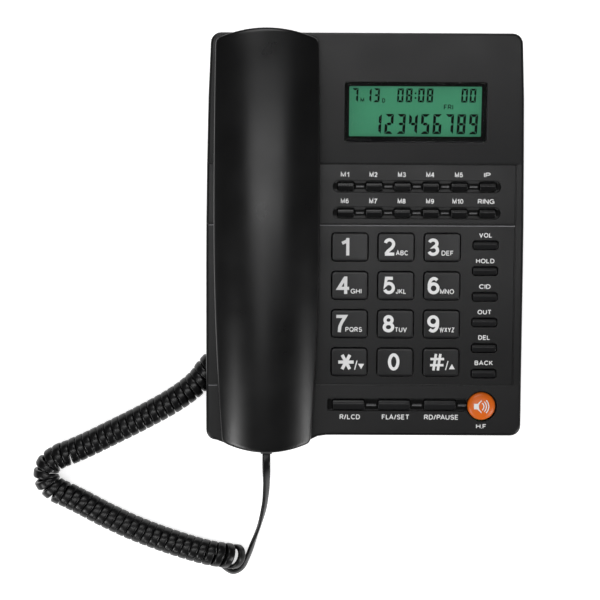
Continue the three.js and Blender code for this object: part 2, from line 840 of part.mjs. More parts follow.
// Rounded outlines of falling size, stacked into a cap
function stackedCap(width, depth, radius, steps, levels) {
  const positions = [];
  const index = [];
  let count = 0;
  for (const [z, inset] of levels) {
    const corner = Math.max(radius - inset, leastCornerShare * radius);
    const ring = roundedOutline(width - 2 * inset, depth - 2 * inset, corner, steps);
    count = ring.length;
    for (const p of ring) positions.push(p.x, p.y, z);
  }
  for (let r = 0; r < levels.length - 1; r += 1) {
    for (let i = 0; i < count; i += 1) {
      const j = (i + 1) % count;
      const a = r * count + i;
      const b = r * count + j;
      index.push(a, b, b + count, a, b + count, a + count);
    }
  }
  const last = (levels.length - 1) * count;
  for (let i = 1; i < count - 1; i += 1) {
    index.push(0, i + 1, i);
    index.push(last, last + i, last + i + 1);
  }
  const geometry = new THREE.BufferGeometry();
  setMesh(geometry, positions, index);
  return geometry;
}

function dialKey(name, x, y) {
  const cap = solidOf(stackedCap(dialKeyWidth, dialKeyDepth, dialKeyRadius, 2, [
    [capFoot, 0], [dialKeyRise - dialBevel, 0],
    [dialKeyRise - bevelShare * dialBevel, bevelShare * dialBevel], [dialKeyRise, dialBevel],
  ]));
  const dishRadius = (dialKeyWidth * dialKeyWidth) / (8 * dialDish);
  const dish = new THREE.CylinderGeometry(dishRadius, dishRadius, 2 * dialKeyDepth, dishSides, 1, false);
  dish.translate(0, 0, dishRadius + dialKeyRise - dialDish);
  const body = keyBody(dialKeyWidth, dialKeyDepth, dialKeyRadius, cap.subtract(solidOf(dish)));
  keyHole(x, y, dialKeyWidth, dialKeyDepth, dialKeyRadius, 2);
  addPart(name, onFace(body, x, y), keyPlastic);
}

// A small button with a roof-shaped top, its ridge along x
function smallButton(name, x, y, width, depth) {
  const eaves = smallRise - ridgeDrop;
  const roof = sweepX([
    [-depth / 2, capFoot], [depth / 2, capFoot], [depth / 2, eaves],
    [ridgeShare * depth, smallRise], [-ridgeShare * depth, smallRise], [-depth / 2, eaves],
  ], -width / 2, width / 2);
  const corners = plate(roundedOutline(width, depth, smallCornerRadius, 1), -overrun, overrun);
  const body = keyBody(width, depth, smallCornerRadius, solidOf(roof).intersect(solidOf(corners)));
  keyHole(x, y, width, depth, smallCornerRadius, 1);
  addPart(name, onFace(body, x, y), keyPlastic);
}

function handsfreeButton() {
  const top = flangeTop;
  const bottom = flangeTop - flangeThickness;
  const points = [new THREE.Vector2(0, bottom)];
  points.push(new THREE.Vector2(handsfreeRadius + flangeMargin, bottom));
  points.push(new THREE.Vector2(handsfreeRadius + flangeMargin, top));
  points.push(new THREE.Vector2(handsfreeRadius, top));
  for (let i = 0; i < domeSteps; i += 1) {
    const angle = (Math.PI / 2) * (i / domeSteps);
    const radius = handsfreeRadius * Math.cos(angle) ** domePower;
    points.push(new THREE.Vector2(radius, handsfreeRise * Math.sin(angle)));
  }
  points.push(new THREE.Vector2(0, handsfreeRise));
  const body = new THREE.LatheGeometry(points, domeSides).rotateX(Math.PI / 2);
  const holeRadius = handsfreeRadius + keyGap;
  const hole = upright(holeRadius, holeRadius, skin + 2 * overrun, domeSides);
  keyHoles.push(solidOf(onFace(hole, handsfreeX, handsfreeY)));
  const closed = geometryOf(solidOf(body));
  addPart('handsfree_button', onFace(closed, handsfreeX, handsfreeY), orangePlastic);
}

// A sheet under the top face, between two depths, over a rectangle in plan
function sheetUnderFace(x0, x1, y0, y1, upperDepth, lowerZ) {
  const stations = [y0, bandFrontY, bandMiddleY, bandUpperY, y1];
  const rows = stations.filter((y) => y >= y0 && y <= y1);
  const upper = rows.map((y) => [y, topZ(y) - upperDepth]);
  const lower = [...rows].reverse().map((y) => [y, lowerZ(y)]);
  return sweepX([...lower.reverse(), ...upper.reverse()], x0, x1);
}

function boardZ(y) {
  return topZ(bandFrontY) + (y - bandFrontY) * Math.tan(keypadSlope) - boardPlaneDepth;
}

// Rows of buttons
const dialNames = [
  ['key_1', 'key_2', 'key_3'],
  ['key_4', 'key_5', 'key_6'],
  ['key_7', 'key_8', 'key_9'],
  ['key_star', 'key_0', 'key_hash'],
];
dialNames.forEach((row, r) => row.forEach((name, c) => {
  dialKey(name, dialX + (c - 1) * dialPitchX, dialY + (1.5 - r) * dialPitchY);
}));

const memoryXs = [-2.5, -1.5, -0.5, 0.5, 1.5, 2.5].map((share) => memoryX + share * memoryPitchX);
for (let r = 0; r < 2; r += 1) {
  const y = memoryRowY - r * memoryPitchY;
  slotCut(
    memoryX - memorySlotLength / 2, memoryX + memorySlotLength / 2, y, memorySlotWidth,
    memorySlotWidth / 2, spansBetween(memoryXs, memoryButtonWidth));
  memoryXs.forEach((x, c) => {
    smallButton(`memory_button_${r * 6 + c + 1}`, x, y, memoryButtonWidth, memoryButtonDepth);
  });
}

for (let r = 0; r < 6; r += 1) {
  const y = sideTopY - r * sidePitchY;
  smallButton(`side_button_${r + 1}`, sideX, y, sideButtonWidth, sideButtonDepth);
}

const functionXs = [-1, 0, 1].map((share) => functionX + share * functionPitchX);
const functionSlotLeft = functionXs[0] - functionButtonWidth / 2 - functionSlotRim;
const functionSlotRight = handsfreeX - handsfreeRadius + functionSlotReach;
const lastBarLeft = functionXs[2] + functionButtonWidth / 2 + runnerWidth;
slotCut(functionSlotLeft, functionSlotRight, functionY, functionSlotWidth, functionSlotCorner, [
  ...spansBetween(functionXs, functionButtonWidth), [lastBarLeft, functionSlotRight],
]);
functionXs.forEach((x, i) => {
  smallButton(`function_button_${i + 1}`, x, functionY, functionButtonWidth, functionButtonDepth);
});
handsfreeButton();

// Grooves across the top face where the bands meet, and the line that bounds the panel on the right
function grooves() {
  const cuts = [];
  const leftX = -baseWidth / 2 - overrun;
  for (const y of [bandFrontY, bandMiddleY, bandUpperY]) {
    cuts.push(sweepX([
      [y - grooveWidth / 2, topZ(y) - grooveDepth], [y + grooveWidth / 2, topZ(y) - grooveDepth],
      [y + grooveWidth / 2, topZ(y) + overrun], [y - grooveWidth / 2, topZ(y) + overrun],
    ], leftX, panelLineX - grooveWidth / 2));
  }
  cuts.push(sheetUnderFace(
    panelLineX - grooveWidth, panelLineX, bandFrontY - panelLineReach, bandUpperY + panelLineReach, -overrun,
    (y) => topZ(y) - panelLineDepth));
  return cuts.map(solidOf);
}

function lineJackPlace(geometry) {
  return geometry.rotateZ(Math.PI).translate(lineJackX, baseRearY - bottomTuck - wall - fitGap, lineJackZ);
}

const coverTopZ = bottomZ + coverThickness;
const lineJackZ = coverTopZ + fitGap + lineJackHeight / 2;

// Screw bosses of the housing, as places in plan, set in so that the screw heads lie on the cover
const coverInset = bottomTuck + wall + fitGap;
const screwInset = coverInset + screwHeadRadius + screwRim;
const displayRearY = displayY + displayDepth / 2;
const bossPlaces = [
  [halfWidthAt(displayRearY) - screwInset, displayRearY],
  [baseWidth / 2 - screwInset, dialY],
  [-halfWidthAt(bandMiddleY) + screwInset, bandMiddleY],
  [handsetX + mouthCupRadius / 2, mouthCupY + mouthCupRadius + wellGap + skin + 4 * bossRadius],
  [handsetX + earCupRadius + wellGap + skin + 2 * bossRadius, baseRearY - screwInset],
];

// What a plate leaves free round the bosses
function notchedForBosses(geometry) {
  let solid = solidOf(geometry);
  for (const [x, y] of bossPlaces) {
    const room = upright(bossRadius + fitGap, bossRadius + fitGap, 2 * throughCut, holeSides);
    solid = solid.subtract(solidOf(room.translate(x, y, 0)));
  }
  return geometryOf(solid);
}

function screwBosses() {
  return bossPlaces.map(([x, y]) => {
    const low = coverTopZ + fitGap;
    const high = topZ(y - bossRadius) - skin / 2;
    const boss = upright(bossRadius, bossRadius, high - low, holeSides).translate(x, y, (high + low) / 2);
    const pilot = upright(screwRadius, screwRadius, 2 * screwDepth, holeSides).translate(x, y, low);
    return solidOf(boss).subtract(solidOf(pilot));
  });
}

function topHousing() {
  const recessSkin = handsetRecess(skin);
  let hollow = solidOf(baseCavity());
  hollow = hollow.subtract(recessSkin).subtract(pocketBox(pocketWall));
  let housing = solidOf(baseBlock()).subtract(hollow);
  housing = housing.subtract(handsetRecess(0)).subtract(pocketBox(0)).subtract(hookHole(keyGap));
  for (const boss of screwBosses()) housing = housing.add(boss);
  for (const cut of [...slotCuts, ...keyHoles, ...grooves()]) housing = housing.subtract(cut);
  const windowCut = plate(
    roundedOutline(displayWidth, displayDepth, displayCornerRadius, 2), -skin - overrun, overrun);
  housing = housing.subtract(solidOf(onFace(windowCut, displayX, displayY)));
  const jackHole = box(
    plugWidth + 2 * plugClear, 2 * pocketWall + 2 * fitGap, plugHeight + 2 * plugClear,
    basePlugX, pocketRearY + pocketWall / 2, basePlugZ);
  housing = housing.subtract(solidOf(jackHole));
  const lineHole = box(
    lineSocketWidth + 2 * plugClear, 4 * wall, lineSocketHeight + 2 * plugClear,
    lineJackX, baseRearY, lineJackZ);
  return geometryOf(housing.subtract(solidOf(lineHole)));
}

// What the keypad mat and the circuit board cover
const keyUnderside = skin + fitGap + flangeThickness;
const padLeft = functionSlotLeft - matMarginX;
const padFront = functionY - dialKeyDepth / 2;
const padRear = memoryRowY + memorySlotWidth;
const padRight = handsfreeX + handsfreeRadius + matMarginX;
const postPlaces = [padLeft - boardMargin + postInset, padRight + boardMargin - postInset].flatMap((x) => [
  [x, padFront - boardMargin + postInset],
  [x, padRear + boardMargin - postInset],
]);

function bottomCover() {
  const inner = insetOutline(coverInset).map((p) => new THREE.Vector2(p.x, p.y));
  let cover = solidOf(plate(inner, bottomZ, coverTopZ));
  cover = cover.subtract(pocketBox(pocketWall + fitGap));
  for (const [x, y] of bossPlaces) {
    const hole = upright(screwRadius + fitGap, screwRadius + fitGap, 4 * coverThickness, holeSides);
    const head = upright(screwHeadRadius, screwHeadRadius, 2 * screwHeadDepth, holeSides);
    cover = cover.subtract(solidOf(hole.translate(x, y, bottomZ)));
    cover = cover.subtract(solidOf(head.translate(x, y, bottomZ)));
  }
  for (const [x, y] of postPlaces) {
    const top = boardZ(y - postRadius) - boardThickness - fitGap;
    const post = upright(postRadius, postRadius, top - bottomZ, holeSides);
    cover = cover.add(solidOf(post.translate(x, y, (top + bottomZ) / 2)));
  }
  for (const [x, y] of footPlaces) {
    const seat = upright(footRadius + fitGap, footRadius + fitGap, footHeight + fitGap, footSides);
    cover = cover.subtract(solidOf(seat.translate(x, y, (footHeight + fitGap) / 2)));
  }
  for (let i = 0; i < grilleSlotCount; i += 1) {
    const offset = (i - (grilleSlotCount - 1) / 2) * grillePitch;
    const length = 2 * Math.sqrt(grilleRadius * grilleRadius - offset * offset);
    const slot = box(length, grilleSlotWidth, 4 * overrun, speakerX, speakerY + offset, bottomZ);
    cover = cover.subtract(solidOf(slot));
  }
  const pedestal = boxBetween(
    [handsetX - switchWidth / 2, hookWorldY - switchDepth / 2, bottomZ + coverThickness / 2],
    [handsetX + switchWidth / 2, hookWorldY + switchDepth / 2, switchSeatZ - fitGap]);
  return geometryOf(cover.add(solidOf(pedestal)));
}

const footPlaces = [-1, 1].flatMap((sx) => [
  [sx * (baseWidth / 2 - footInsetX), baseRearY - footInsetY],
  [sx * (baseWidth / 2 - footInsetX), frontEdgeY(sx * (baseWidth / 2 - footInsetX)) + footInsetFront],
]);

// Hook plunger and its switch
const wellFloorTop = -cupDrop - fitGap;
const hookBottom = wellFloorTop - skin - fitGap - hookTravel - hookFlangeThickness - hookStem;
const hookFoot = new THREE.Vector3(0, hookY, hookBottom).applyMatrix4(handsetFrame);
const hookWorldY = hookFoot.y;
const switchSeatZ = hookFoot.z - hookDepth * Math.sin(cradleTilt) - 2 * fitGap - switchHeight;

function hookPlunger() {
  const top = -cupDrop - fitGap;
  const collarTop = wellFloorTop - skin - fitGap - hookTravel;
  const pin = box(hookWidth, hookDepth, top - hookBottom, 0, hookY, (top + hookBottom) / 2);
  const collar = box(
    hookWidth + 2 * hookFlange, hookDepth + 2 * hookFlange, hookFlangeThickness,
    0, hookY, collarTop - hookFlangeThickness / 2);
  return inHandset(geometryOf(solidOf(pin).add(solidOf(collar))));
}

addPart('top_housing', topHousing(), blackPlastic);
addPart('bottom_cover', bottomCover(), blackPlastic);
footPlaces.forEach(([x, y], i) => {
  const foot = upright(footRadius, footRadius - footDraft, footHeight, footSides);
  addPart(`foot_${i + 1}`, foot.translate(x, y, footHeight / 2), softRubber);
});

// Display window and panel
function displayPlate(upper, thickness, margin) {
  const width = displayWidth + 2 * margin;
  const points = roundedOutline(width, displayDepth + 2 * margin, displayCornerRadius, 2);
  return onFace(plate(points, -upper - thickness, -upper), displayX, displayY);
}
const windowTop = skin + fitGap;
const panelTop = windowTop + windowThickness + fitGap;
addPart('display_window', displayPlate(windowTop, windowThickness, windowMargin), clearPlastic);
addPart('display_panel', displayPlate(panelTop, panelThickness, windowMargin), displayGreen);

// Keypad mat and circuit board
const matTop = keyUnderside + keyTravel + fitGap;
const mat = sheetUnderFace(padLeft, padRight, padFront, padRear, matTop, (y) => boardZ(y) + fitGap);
addPart('keypad_mat', notchedForBosses(mat), softRubber);
const boardFront = padFront - boardMargin;
const boardRear = padRear + boardMargin;
const board = sweepX([
  [boardFront, boardZ(boardFront) - boardThickness], [boardRear, boardZ(boardRear) - boardThickness],
  [boardRear, boardZ(boardRear)], [boardFront, boardZ(boardFront)],
], padLeft - boardMargin, padRight + boardMargin);
addPart('main_circuit_board', notchedForBosses(board), boardGreen);

// Loudspeaker on the bottom cover: a cone basket with its magnet on top
function loudspeaker() {
  const top = speakerHeight + magnetHeight;
  const profile = [
    [0, 0], [speakerRadius, 0], [speakerRadius, speakerHeight / 4], [magnetRadius, speakerHeight],
    [magnetRadius, top], [0, top],
  ];
  const points = profile.map(([r, z]) => new THREE.Vector2(r, z));
  const geometry = geometryOf(solidOf(new THREE.LatheGeometry(points, cupSides).rotateX(Math.PI / 2)));
  return geometry.translate(speakerX, speakerY, coverTopZ + fitGap);
}
addPart('loudspeaker', loudspeaker(), capsuleMetal);

const lineJack = socketBlock(
  lineJackWidth, lineJackHeight, lineJackLength, lineSocketWidth, lineSocketHeight, lineSocketDepth);
addPart('line_jack', lineJackPlace(geometryOf(lineJack)), softRubber);
addPart('hook_plunger', hookPlunger(), blackPlastic);
addPart('hook_switch', boxBetween(
  [handsetX - switchWidth / 2, hookWorldY - switchDepth / 2, switchSeatZ],
  [handsetX + switchWidth / 2, hookWorldY + switchDepth / 2, switchSeatZ + switchHeight]), softRubber);

// Handset
addPart('handset_outer_shell', handsetOuterShell(), handsetPlastic);
addPart('handset_inner_shell', handsetInnerShell(), handsetPlastic);
addPart('receiver_capsule', capsule(receiverRadius, receiverHeight, earCupY), capsuleMetal);
addPart('microphone', capsule(microphoneRadius, microphoneHeight, mouthCupY), capsuleMetal);
const handsetJackY = -handsetLength / 2 + shellWall + fitGap;
const handsetPlugY = handsetJackY + jackLength - jackWall - fitGap - plugLength;
const handsetJack = plugSocket().translate(0, handsetJackY, handsetJackRise);
addPart('handset_jack', inHandset(handsetJack), softRubber);
const handsetPlug = modularPlug().translate(0, handsetPlugY, handsetJackRise);
addPart('handset_plug', inHandset(handsetPlug), clearPlastic);

// Socket and plug in the pocket
const baseJackY = pocketRearY + pocketWall + fitGap;
addPart('base_handset_jack', plugSocket().translate(basePlugX, baseJackY, basePlugZ), softRubber);
const basePlugY = baseJackY + jackLength - jackWall - fitGap - plugLength;
addPart('base_plug', modularPlug().translate(basePlugX, basePlugY, basePlugZ), clearPlastic);

// The curly cord: a flat wire wound round the route. The pitch opens where the route bends, so that
// the turns stay apart on the inner side.
const coilAxis = new THREE.CatmullRomCurve3(
  coilRoute.map(([x, y]) => new THREE.Vector3(x, y, coilRadius + coilFloorGap)), false, 'centripetal');

function coilAxisSamples() {
  const length = coilAxis.getLength();
  const samples = [];
  for (let i = 0; i <= axisSteps; i += 1) {
    const share = i / axisSteps;
    samples.push({
      at: share * length, point: coilAxis.getPointAt(share), tangent: coilAxis.getTangentAt(share),
    });
  }
  for (let i = 0; i <= axisSteps; i += 1) {
    const a = samples[Math.max(0, i - bendReach)];
    const b = samples[Math.min(axisSteps, i + bendReach)];
    samples[i].bend = a.tangent.angleTo(b.tangent) / (b.at - a.at);
  }
  return samples;
}

function coilTurns(samples) {
  let turns = 0;
  samples[0].turns = 0;
  for (let i = 1; i < samples.length; i += 1) {
    const room = 1 - samples[i].bend * coilRadius;
    const pitch = Math.max(coilPitch, (wireWidth + coilLeastGap) / room);
    turns += (samples[i].at - samples[i - 1].at) / pitch;
    samples[i].turns = turns;
  }
  return turns;
}

// Points of the wire's middle line, each with its directions outwards and along the coil's axis
function coilWire() {
  const samples = coilAxisSamples();
  const rough = coilTurns(samples);
  const whole = Math.round(rough - endPhaseShare) + endPhaseShare;
  const wound = coilRadius - wireThickness / 2;
  const count = Math.round(whole * coilStepsPerTurn);
  const wire = [];
  let k = 0;
  for (let i = 0; i <= count; i += 1) {
    const turn = (rough * i) / count;
    while (k < samples.length - 2 && samples[k + 1].turns < turn) k += 1;
    const span = samples[k + 1].turns - samples[k].turns;
    const share = (turn - samples[k].turns) / span;
    const point = samples[k].point.clone().lerp(samples[k + 1].point, share);
    const tangent = samples[k].tangent.clone().lerp(samples[k + 1].tangent, share).normalize();
    const side = new THREE.Vector3(tangent.y, -tangent.x, 0);
    const angle = (2 * Math.PI * whole * i) / count;
    const out = new THREE.Vector3(0, 0, Math.cos(angle)).addScaledVector(side, -Math.sin(angle));
    wire.push({ point: point.addScaledVector(out, wound), out, along: tangent });
  }
  return wire;
}

function leastCoilGap(wire) {
  let least = Infinity;
  for (let i = 0; i < wire.length; i += 1) {
    for (let j = i + coilStepsPerTurn - 2; j < Math.min(wire.length, i + 3 * coilStepsPerTurn); j += 1) {
      for (const p of wire[i].ring) {
        for (const q of wire[j].ring) least = Math.min(least, p.distanceTo(q));
      }
    }
  }
  return least;
}

function curlyCord() {
  const wire = coilWire();
  const start = wire[1].point.clone().sub(wire[0].point).setZ(0).normalize();
  const last = wire[wire.length - 1];
  const end = last.point.clone().sub(wire[wire.length - 2].point).setZ(0).normalize();
  const first = { ...wire[0], point: wire[0].point.clone().addScaledVector(start, -wireWidth) };
  wire.unshift(first);
  wire.push({ ...last, point: last.point.clone().addScaledVector(end, wireWidth) });
  const sectionShares = [[-0.5, -0.5], [0.5, -0.5], [0.5, 0.25], [0, 0.5], [-0.5, 0.25]];
  wire.forEach((station, i) => {
    const before = wire[Math.max(0, i - 1)].point;
    const after = wire[Math.min(wire.length - 1, i + 1)].point;
    const run = after.clone().sub(before).normalize();
    if (i <= 1) run.copy(start);
    if (i >= wire.length - 2) run.copy(end);
    const across = new THREE.Vector3().crossVectors(run, station.out).normalize();
    const out = new THREE.Vector3().crossVectors(across, run).normalize();
    station.ring = sectionShares.map(([u, v]) => station.point.clone()
      .addScaledVector(across, u * wireWidth)
      .addScaledVector(out, v * wireThickness));
  });
  const sides = sectionShares.length;
  const positions = [];
  const index = [];
  for (const station of wire) for (const p of station.ring) positions.push(p.x, p.y, p.z);
  for (let i = 0; i < wire.length - 1; i += 1) {
    for (let s = 0; s < sides; s += 1) {
      const a = i * sides + s;
      const b = i * sides + ((s + 1) % sides);
      index.push(a, a + sides, b + sides, a, b + sides, b);
    }
  }
  const tip = (wire.length - 1) * sides;
  for (let s = 1; s < sides - 1; s += 1) {
    index.push(0, s, s + 1);
    index.push(tip, tip + s + 1, tip + s);
  }
  const geometry = new THREE.BufferGeometry();
  setMesh(geometry, positions, index);
  const turns = (wire.length / coilStepsPerTurn).toFixed(1);
  console.log(`curly cord: ${turns} turns, least gap ${leastCoilGap(wire).toFixed(2)} mm`);
  return { geometry, start, end, first: wire[0].point, last: wire[wire.length - 1].point };
}

// A plain tube through a list of points
function tube(points) {
  const curve = new THREE.CatmullRomCurve3(points, false, 'centripetal');
  const section = [];
  for (let i = 0; i < tailSides; i += 1) {
    const angle = (2 * Math.PI * i) / tailSides;
    section.push(new THREE.Vector2(Math.cos(angle), Math.sin(angle)).multiplyScalar(tailDiameter / 2));
  }
  const steps = Math.max(3, Math.round(curve.getLength() / tailStepLength));
  return new THREE.ExtrudeGeometry(
    new THREE.Shape(section), { steps, bevelEnabled: false, extrudePath: curve });
}

const coil = curlyCord();
const coilGeometry = geometryOf(solidOf(coil.geometry));
addPart('curly_cord', coilGeometry, cordPlastic);

const handsetPlugEnd = new THREE.Vector3(0, handsetPlugY - plugNose - fitGap, handsetJackRise)
  .applyMatrix4(handsetFrame);
const handsetPlugAim = new THREE.Vector3(0, handsetPlugY - plugNose - 2 * tailDiameter, handsetJackRise)
  .applyMatrix4(handsetFrame);
addPart('handset_tail', tube([
  coil.last.clone().addScaledVector(coil.end, fitGap),
  coil.last.clone().addScaledVector(coil.end, fitGap + tailDiameter),
  ...handsetTailRoute.map(([x, y, z]) => new THREE.Vector3(x, y, z)),
  handsetPlugAim,
  handsetPlugEnd,
]), cordPlastic);

const basePlugEnd = new THREE.Vector3(basePlugX, basePlugY - plugNose - fitGap, basePlugZ);
addPart('base_tail', tube([
  basePlugEnd,
  basePlugEnd.clone().add(new THREE.Vector3(0, -tailDiameter, 0)),
  coil.first.clone().addScaledVector(coil.start, -fitGap - tailDiameter),
  coil.first.clone().addScaledVector(coil.start, -fitGap),
]), cordPlastic);

export default phone;
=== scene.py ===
"""Looks of a corded desk telephone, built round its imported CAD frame. Lengths are in millimetres and are
turned into metres where a mesh, a camera or a light is made."""

import math

import bmesh
import bpy
from mathutils import Matrix, Vector


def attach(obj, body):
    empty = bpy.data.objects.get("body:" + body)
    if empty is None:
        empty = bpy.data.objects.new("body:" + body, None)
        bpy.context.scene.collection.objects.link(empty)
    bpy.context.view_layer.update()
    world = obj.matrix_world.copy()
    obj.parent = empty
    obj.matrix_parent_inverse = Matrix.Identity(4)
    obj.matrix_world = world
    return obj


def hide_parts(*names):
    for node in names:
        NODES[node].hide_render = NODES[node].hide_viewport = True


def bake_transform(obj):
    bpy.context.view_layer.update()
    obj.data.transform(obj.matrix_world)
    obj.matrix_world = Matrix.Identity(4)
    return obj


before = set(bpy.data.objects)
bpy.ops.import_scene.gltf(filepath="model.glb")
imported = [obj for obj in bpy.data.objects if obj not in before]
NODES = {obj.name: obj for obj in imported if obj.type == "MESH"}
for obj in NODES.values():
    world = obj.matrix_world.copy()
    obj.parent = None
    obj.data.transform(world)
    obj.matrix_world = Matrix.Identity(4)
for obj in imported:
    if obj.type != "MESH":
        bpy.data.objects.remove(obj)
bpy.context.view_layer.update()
MM = 0.001

# Sizes and places of the CAD part that the looks follow

FRONT_Y, LOWER_BAND_Y, MIDDLE_BAND_Y, UPPER_BAND_Y, REAR_Y = -101.8, -74.5, 11, 42.6, 110
FRONT_HEIGHT = 22.0
BANDS = [(FRONT_Y, math.radians(4)), (LOWER_BAND_Y, math.radians(5.5)), (MIDDLE_BAND_Y, math.radians(7)),
         (UPPER_BAND_Y, math.radians(11))]
SKIN = 2.6
CLEARANCE = 0.3
CAP_REACH = 0.5
DIAL_X, DIAL_Y = 16.6, -31.7
DIAL_PITCH_X, DIAL_PITCH_Y = 24.5, 20.4
DIAL_WIDTH, DIAL_DEPTH = 19.0, 14.7
MEMORY_X, MEMORY_Y = 27.3, 30.9
MEMORY_PITCH_X, MEMORY_PITCH_Y = 15.05, 13.9
MEMORY_WIDTH, MEMORY_DEPTH = 8.8, 4.7
SIDE_X, SIDE_Y, SIDE_PITCH = 64.1, 0.2, 13.7
SIDE_WIDTH, SIDE_DEPTH = 13, 4.4
FUNCTION_X, FUNCTION_Y = 16.4, -85.3
FUNCTION_WIDTH, FUNCTION_DEPTH = 17.2, 5.4
DISPLAY_X, DISPLAY_Y = 26.8, 69.1
WINDOW_THICKNESS = 1.4
SLOT_DEPTH = 1.9
# Each slot: its left end, its right end, its width and the radius of its corners
MEMORY_SLOT = (-17.2, 71.8, 6.4, 3.2)
FUNCTION_SLOT = (-19.4, 55.0, 6.9, 1.4)
HOLE_RIM = 0.5
RUNNER_GAP = 1.1
RUNNER_DROP = 0.5
HANDSET_X, HANDSET_Y = -51.8, 1.1
HANDSET_RISE = 6
HALF_LENGTH = 221.6 / 2
HANDSET_WIDEST_Y = 8
HANDSET_MIDDLE, HANDSET_REAR, HANDSET_FRONT = 27.6, 26.6, 23.6
HANDSET_EDGE_HEIGHT, HANDSET_ARCH = 11, 6
HANDSET_END_SAG = 6.2
SCREW_PLACES = [(73.6, 85.2), (75.4, -31.7), (-75.3, 11), (-41.3, -45.8), (-19.1, 101)]

# Mesh helpers


def add(name, data):
    """Puts a new object into the scene."""
    made = bpy.data.objects.new(name, data)
    bpy.context.scene.collection.objects.link(made)
    return made


def make_object(name, verts, faces, material, smooth=True):
    mesh = bpy.data.meshes.new(name)
    mesh.from_pydata([Vector(v) * MM for v in verts], [], faces)
    mesh.validate()
    mesh.update()
    for polygon in mesh.polygons:
        polygon.use_smooth = smooth
    mesh.materials.append(material)
    return add(name, mesh)


def rings_object(name, rings, material, smooth=True, caps=True):
    """A skin over closed rings of equal count, with closed ends where caps is set."""
    count = len(rings[0])
    verts = [p for ring in rings for p in ring]
    faces = []
    for r in range(len(rings) - 1):
        for i in range(count):
            a, b = r * count + i, r * count + (i + 1) % count
            faces.append((a, b, b + count, a + count))
    if caps:
        faces.append(tuple(range(count - 1, -1, -1)))
        faces.append(tuple(range(len(verts) - count, len(verts))))
    return make_object(name, verts, faces, material, smooth)


def sharpen(made, degrees=35):
    """Keeps edges over an angle crisp on a smooth mesh."""
    limit = math.radians(degrees)
    work = bmesh.new()
    work.from_mesh(made.data)
    for edge in work.edges:
        if len(edge.link_faces) == 2 and edge.calc_face_angle(0) > limit:
            edge.smooth = False
    work.to_mesh(made.data)
    work.free()
    return made


def joined(name, objects):
    """One mesh from several objects of one material."""
    work = bmesh.new()
    material = objects[0].data.materials[0]
    for one in objects:
        one.data.transform(one.matrix_world)
        work.from_mesh(one.data)
        bpy.data.objects.remove(one)
    mesh = bpy.data.meshes.new(name)
    work.to_mesh(mesh)
    work.free()
    mesh.materials.append(material)
    return add(name, mesh)


LEAST_RADIUS = 0.02
LEAST_STRAIGHT = 0.02


def arc(cx, cy, rx, ry, start, end, steps=None):
    """Points of an elliptical arc, with angles in degrees."""
    steps = steps or max(3, round(abs(end - start) / 15))
    turns = [math.radians(start + (end - start) * i / steps) for i in range(steps + 1)]
    return [(cx + rx * math.cos(a), cy + ry * math.sin(a)) for a in turns]


def round_object(name, profile, sides, material):
    """A turned shape; its profile gives the radius and the height of each ring."""
    turns = [2 * math.pi * i / sides for i in range(sides)]
    rings = [[(radius * math.cos(a), radius * math.sin(a), z) for a in turns] for radius, z in profile]
    return rings_object(name, rings, material)


def rounded_outline(width, depth, radius, steps, runs=1):
    """Corners of steps + 1 points, and runs pieces along each straight side."""
    radius = max(LEAST_RADIUS, min(radius, (min(width, depth) - LEAST_STRAIGHT) / 2))
    corners = []
    for sx, sy, start in ((1, -1, -90), (1, 1, 0), (-1, 1, 90), (-1, -1, 180)):
        x, y = sx * (width / 2 - radius), sy * (depth / 2 - radius)
        corners.append(arc(x, y, radius, radius, start, start + 90, steps))
    points = []
    for corner, after in zip(corners, corners[1:] + corners[:1]):
        (x0, y0), (x1, y1) = corner[-1], after[0]
        points += corner
        points += [(x0 + (x1 - x0) * k / runs, y0 + (y1 - y0) * k / runs) for k in range(1, runs)]
    return points


# Camera

CAMERA_PLACE = (-34.3, -29.4, 906)
CAMERA_TURN = 0.0047
LENS, SENSOR = 98.83, 36

camera = add("camera", bpy.data.cameras.new("camera"))
camera.location = [part * MM for part in CAMERA_PLACE]
camera.rotation_euler = (0, 0, CAMERA_TURN)
camera.data.lens = LENS
camera.data.sensor_width = SENSOR
camera.data.clip_start = 0.01
bpy.context.scene.camera = camera
bpy.context.scene.view_settings.view_transform = "Standard"

# Floor and light

FLOOR_REACH, FLOOR_DROP = 4000, 0.2
FLOOR_GREY = (0.86, 0.86, 0.86, 1)
FLOOR_GLOW = 0.62
WHITE = (1, 1, 1, 1)
SKY_STRENGTH = 0.08
# Each light: its name, its place, what it aims at, its width and height, and its power in watts
LIGHTS = [
    ("softbox_above", (-80, -85, 1200), (-80, 0, 0), 1000, 160, 4.2),
    ("softbox_handset", (-210, -360, 1200), (-210, -200, 0), 380, 380, 0.65),
    ("softbox_rear", (-100, 360, 500), (-20, 100, 0), 400, 200, 1.5),
    ("softbox_left", (-920, -840, 700), (-50, -50, 0), 450, 250, 7.2),
    ("softbox_right", (950, -770, 500), (-50, -50, 0), 450, 250, 7.5),
    ("softbox_low", (-420, -1150, 420), (-100, -100, 0), 300, 120, 1.2),
]


def new_material(name):
    """A material, its node tree and its shader."""
    material = bpy.data.materials.new(name)
    material.use_nodes = True
    tree = material.node_tree
    return material, tree, tree.nodes["Principled BSDF"]


def fill(made, inputs):
    """Gives a node's sockets their constants, or links them to other nodes' outputs."""
    for key, value in inputs.items():
        if isinstance(value, bpy.types.NodeSocket):
            made.id_data.links.new(value, made.inputs[key])
        else:
            made.inputs[key].default_value = value
    return made


def node(tree, kind, inputs=None, **values):
    made = tree.nodes.new(kind)
    for key, value in values.items():
        setattr(made, key, value)
    return fill(made, inputs or {})


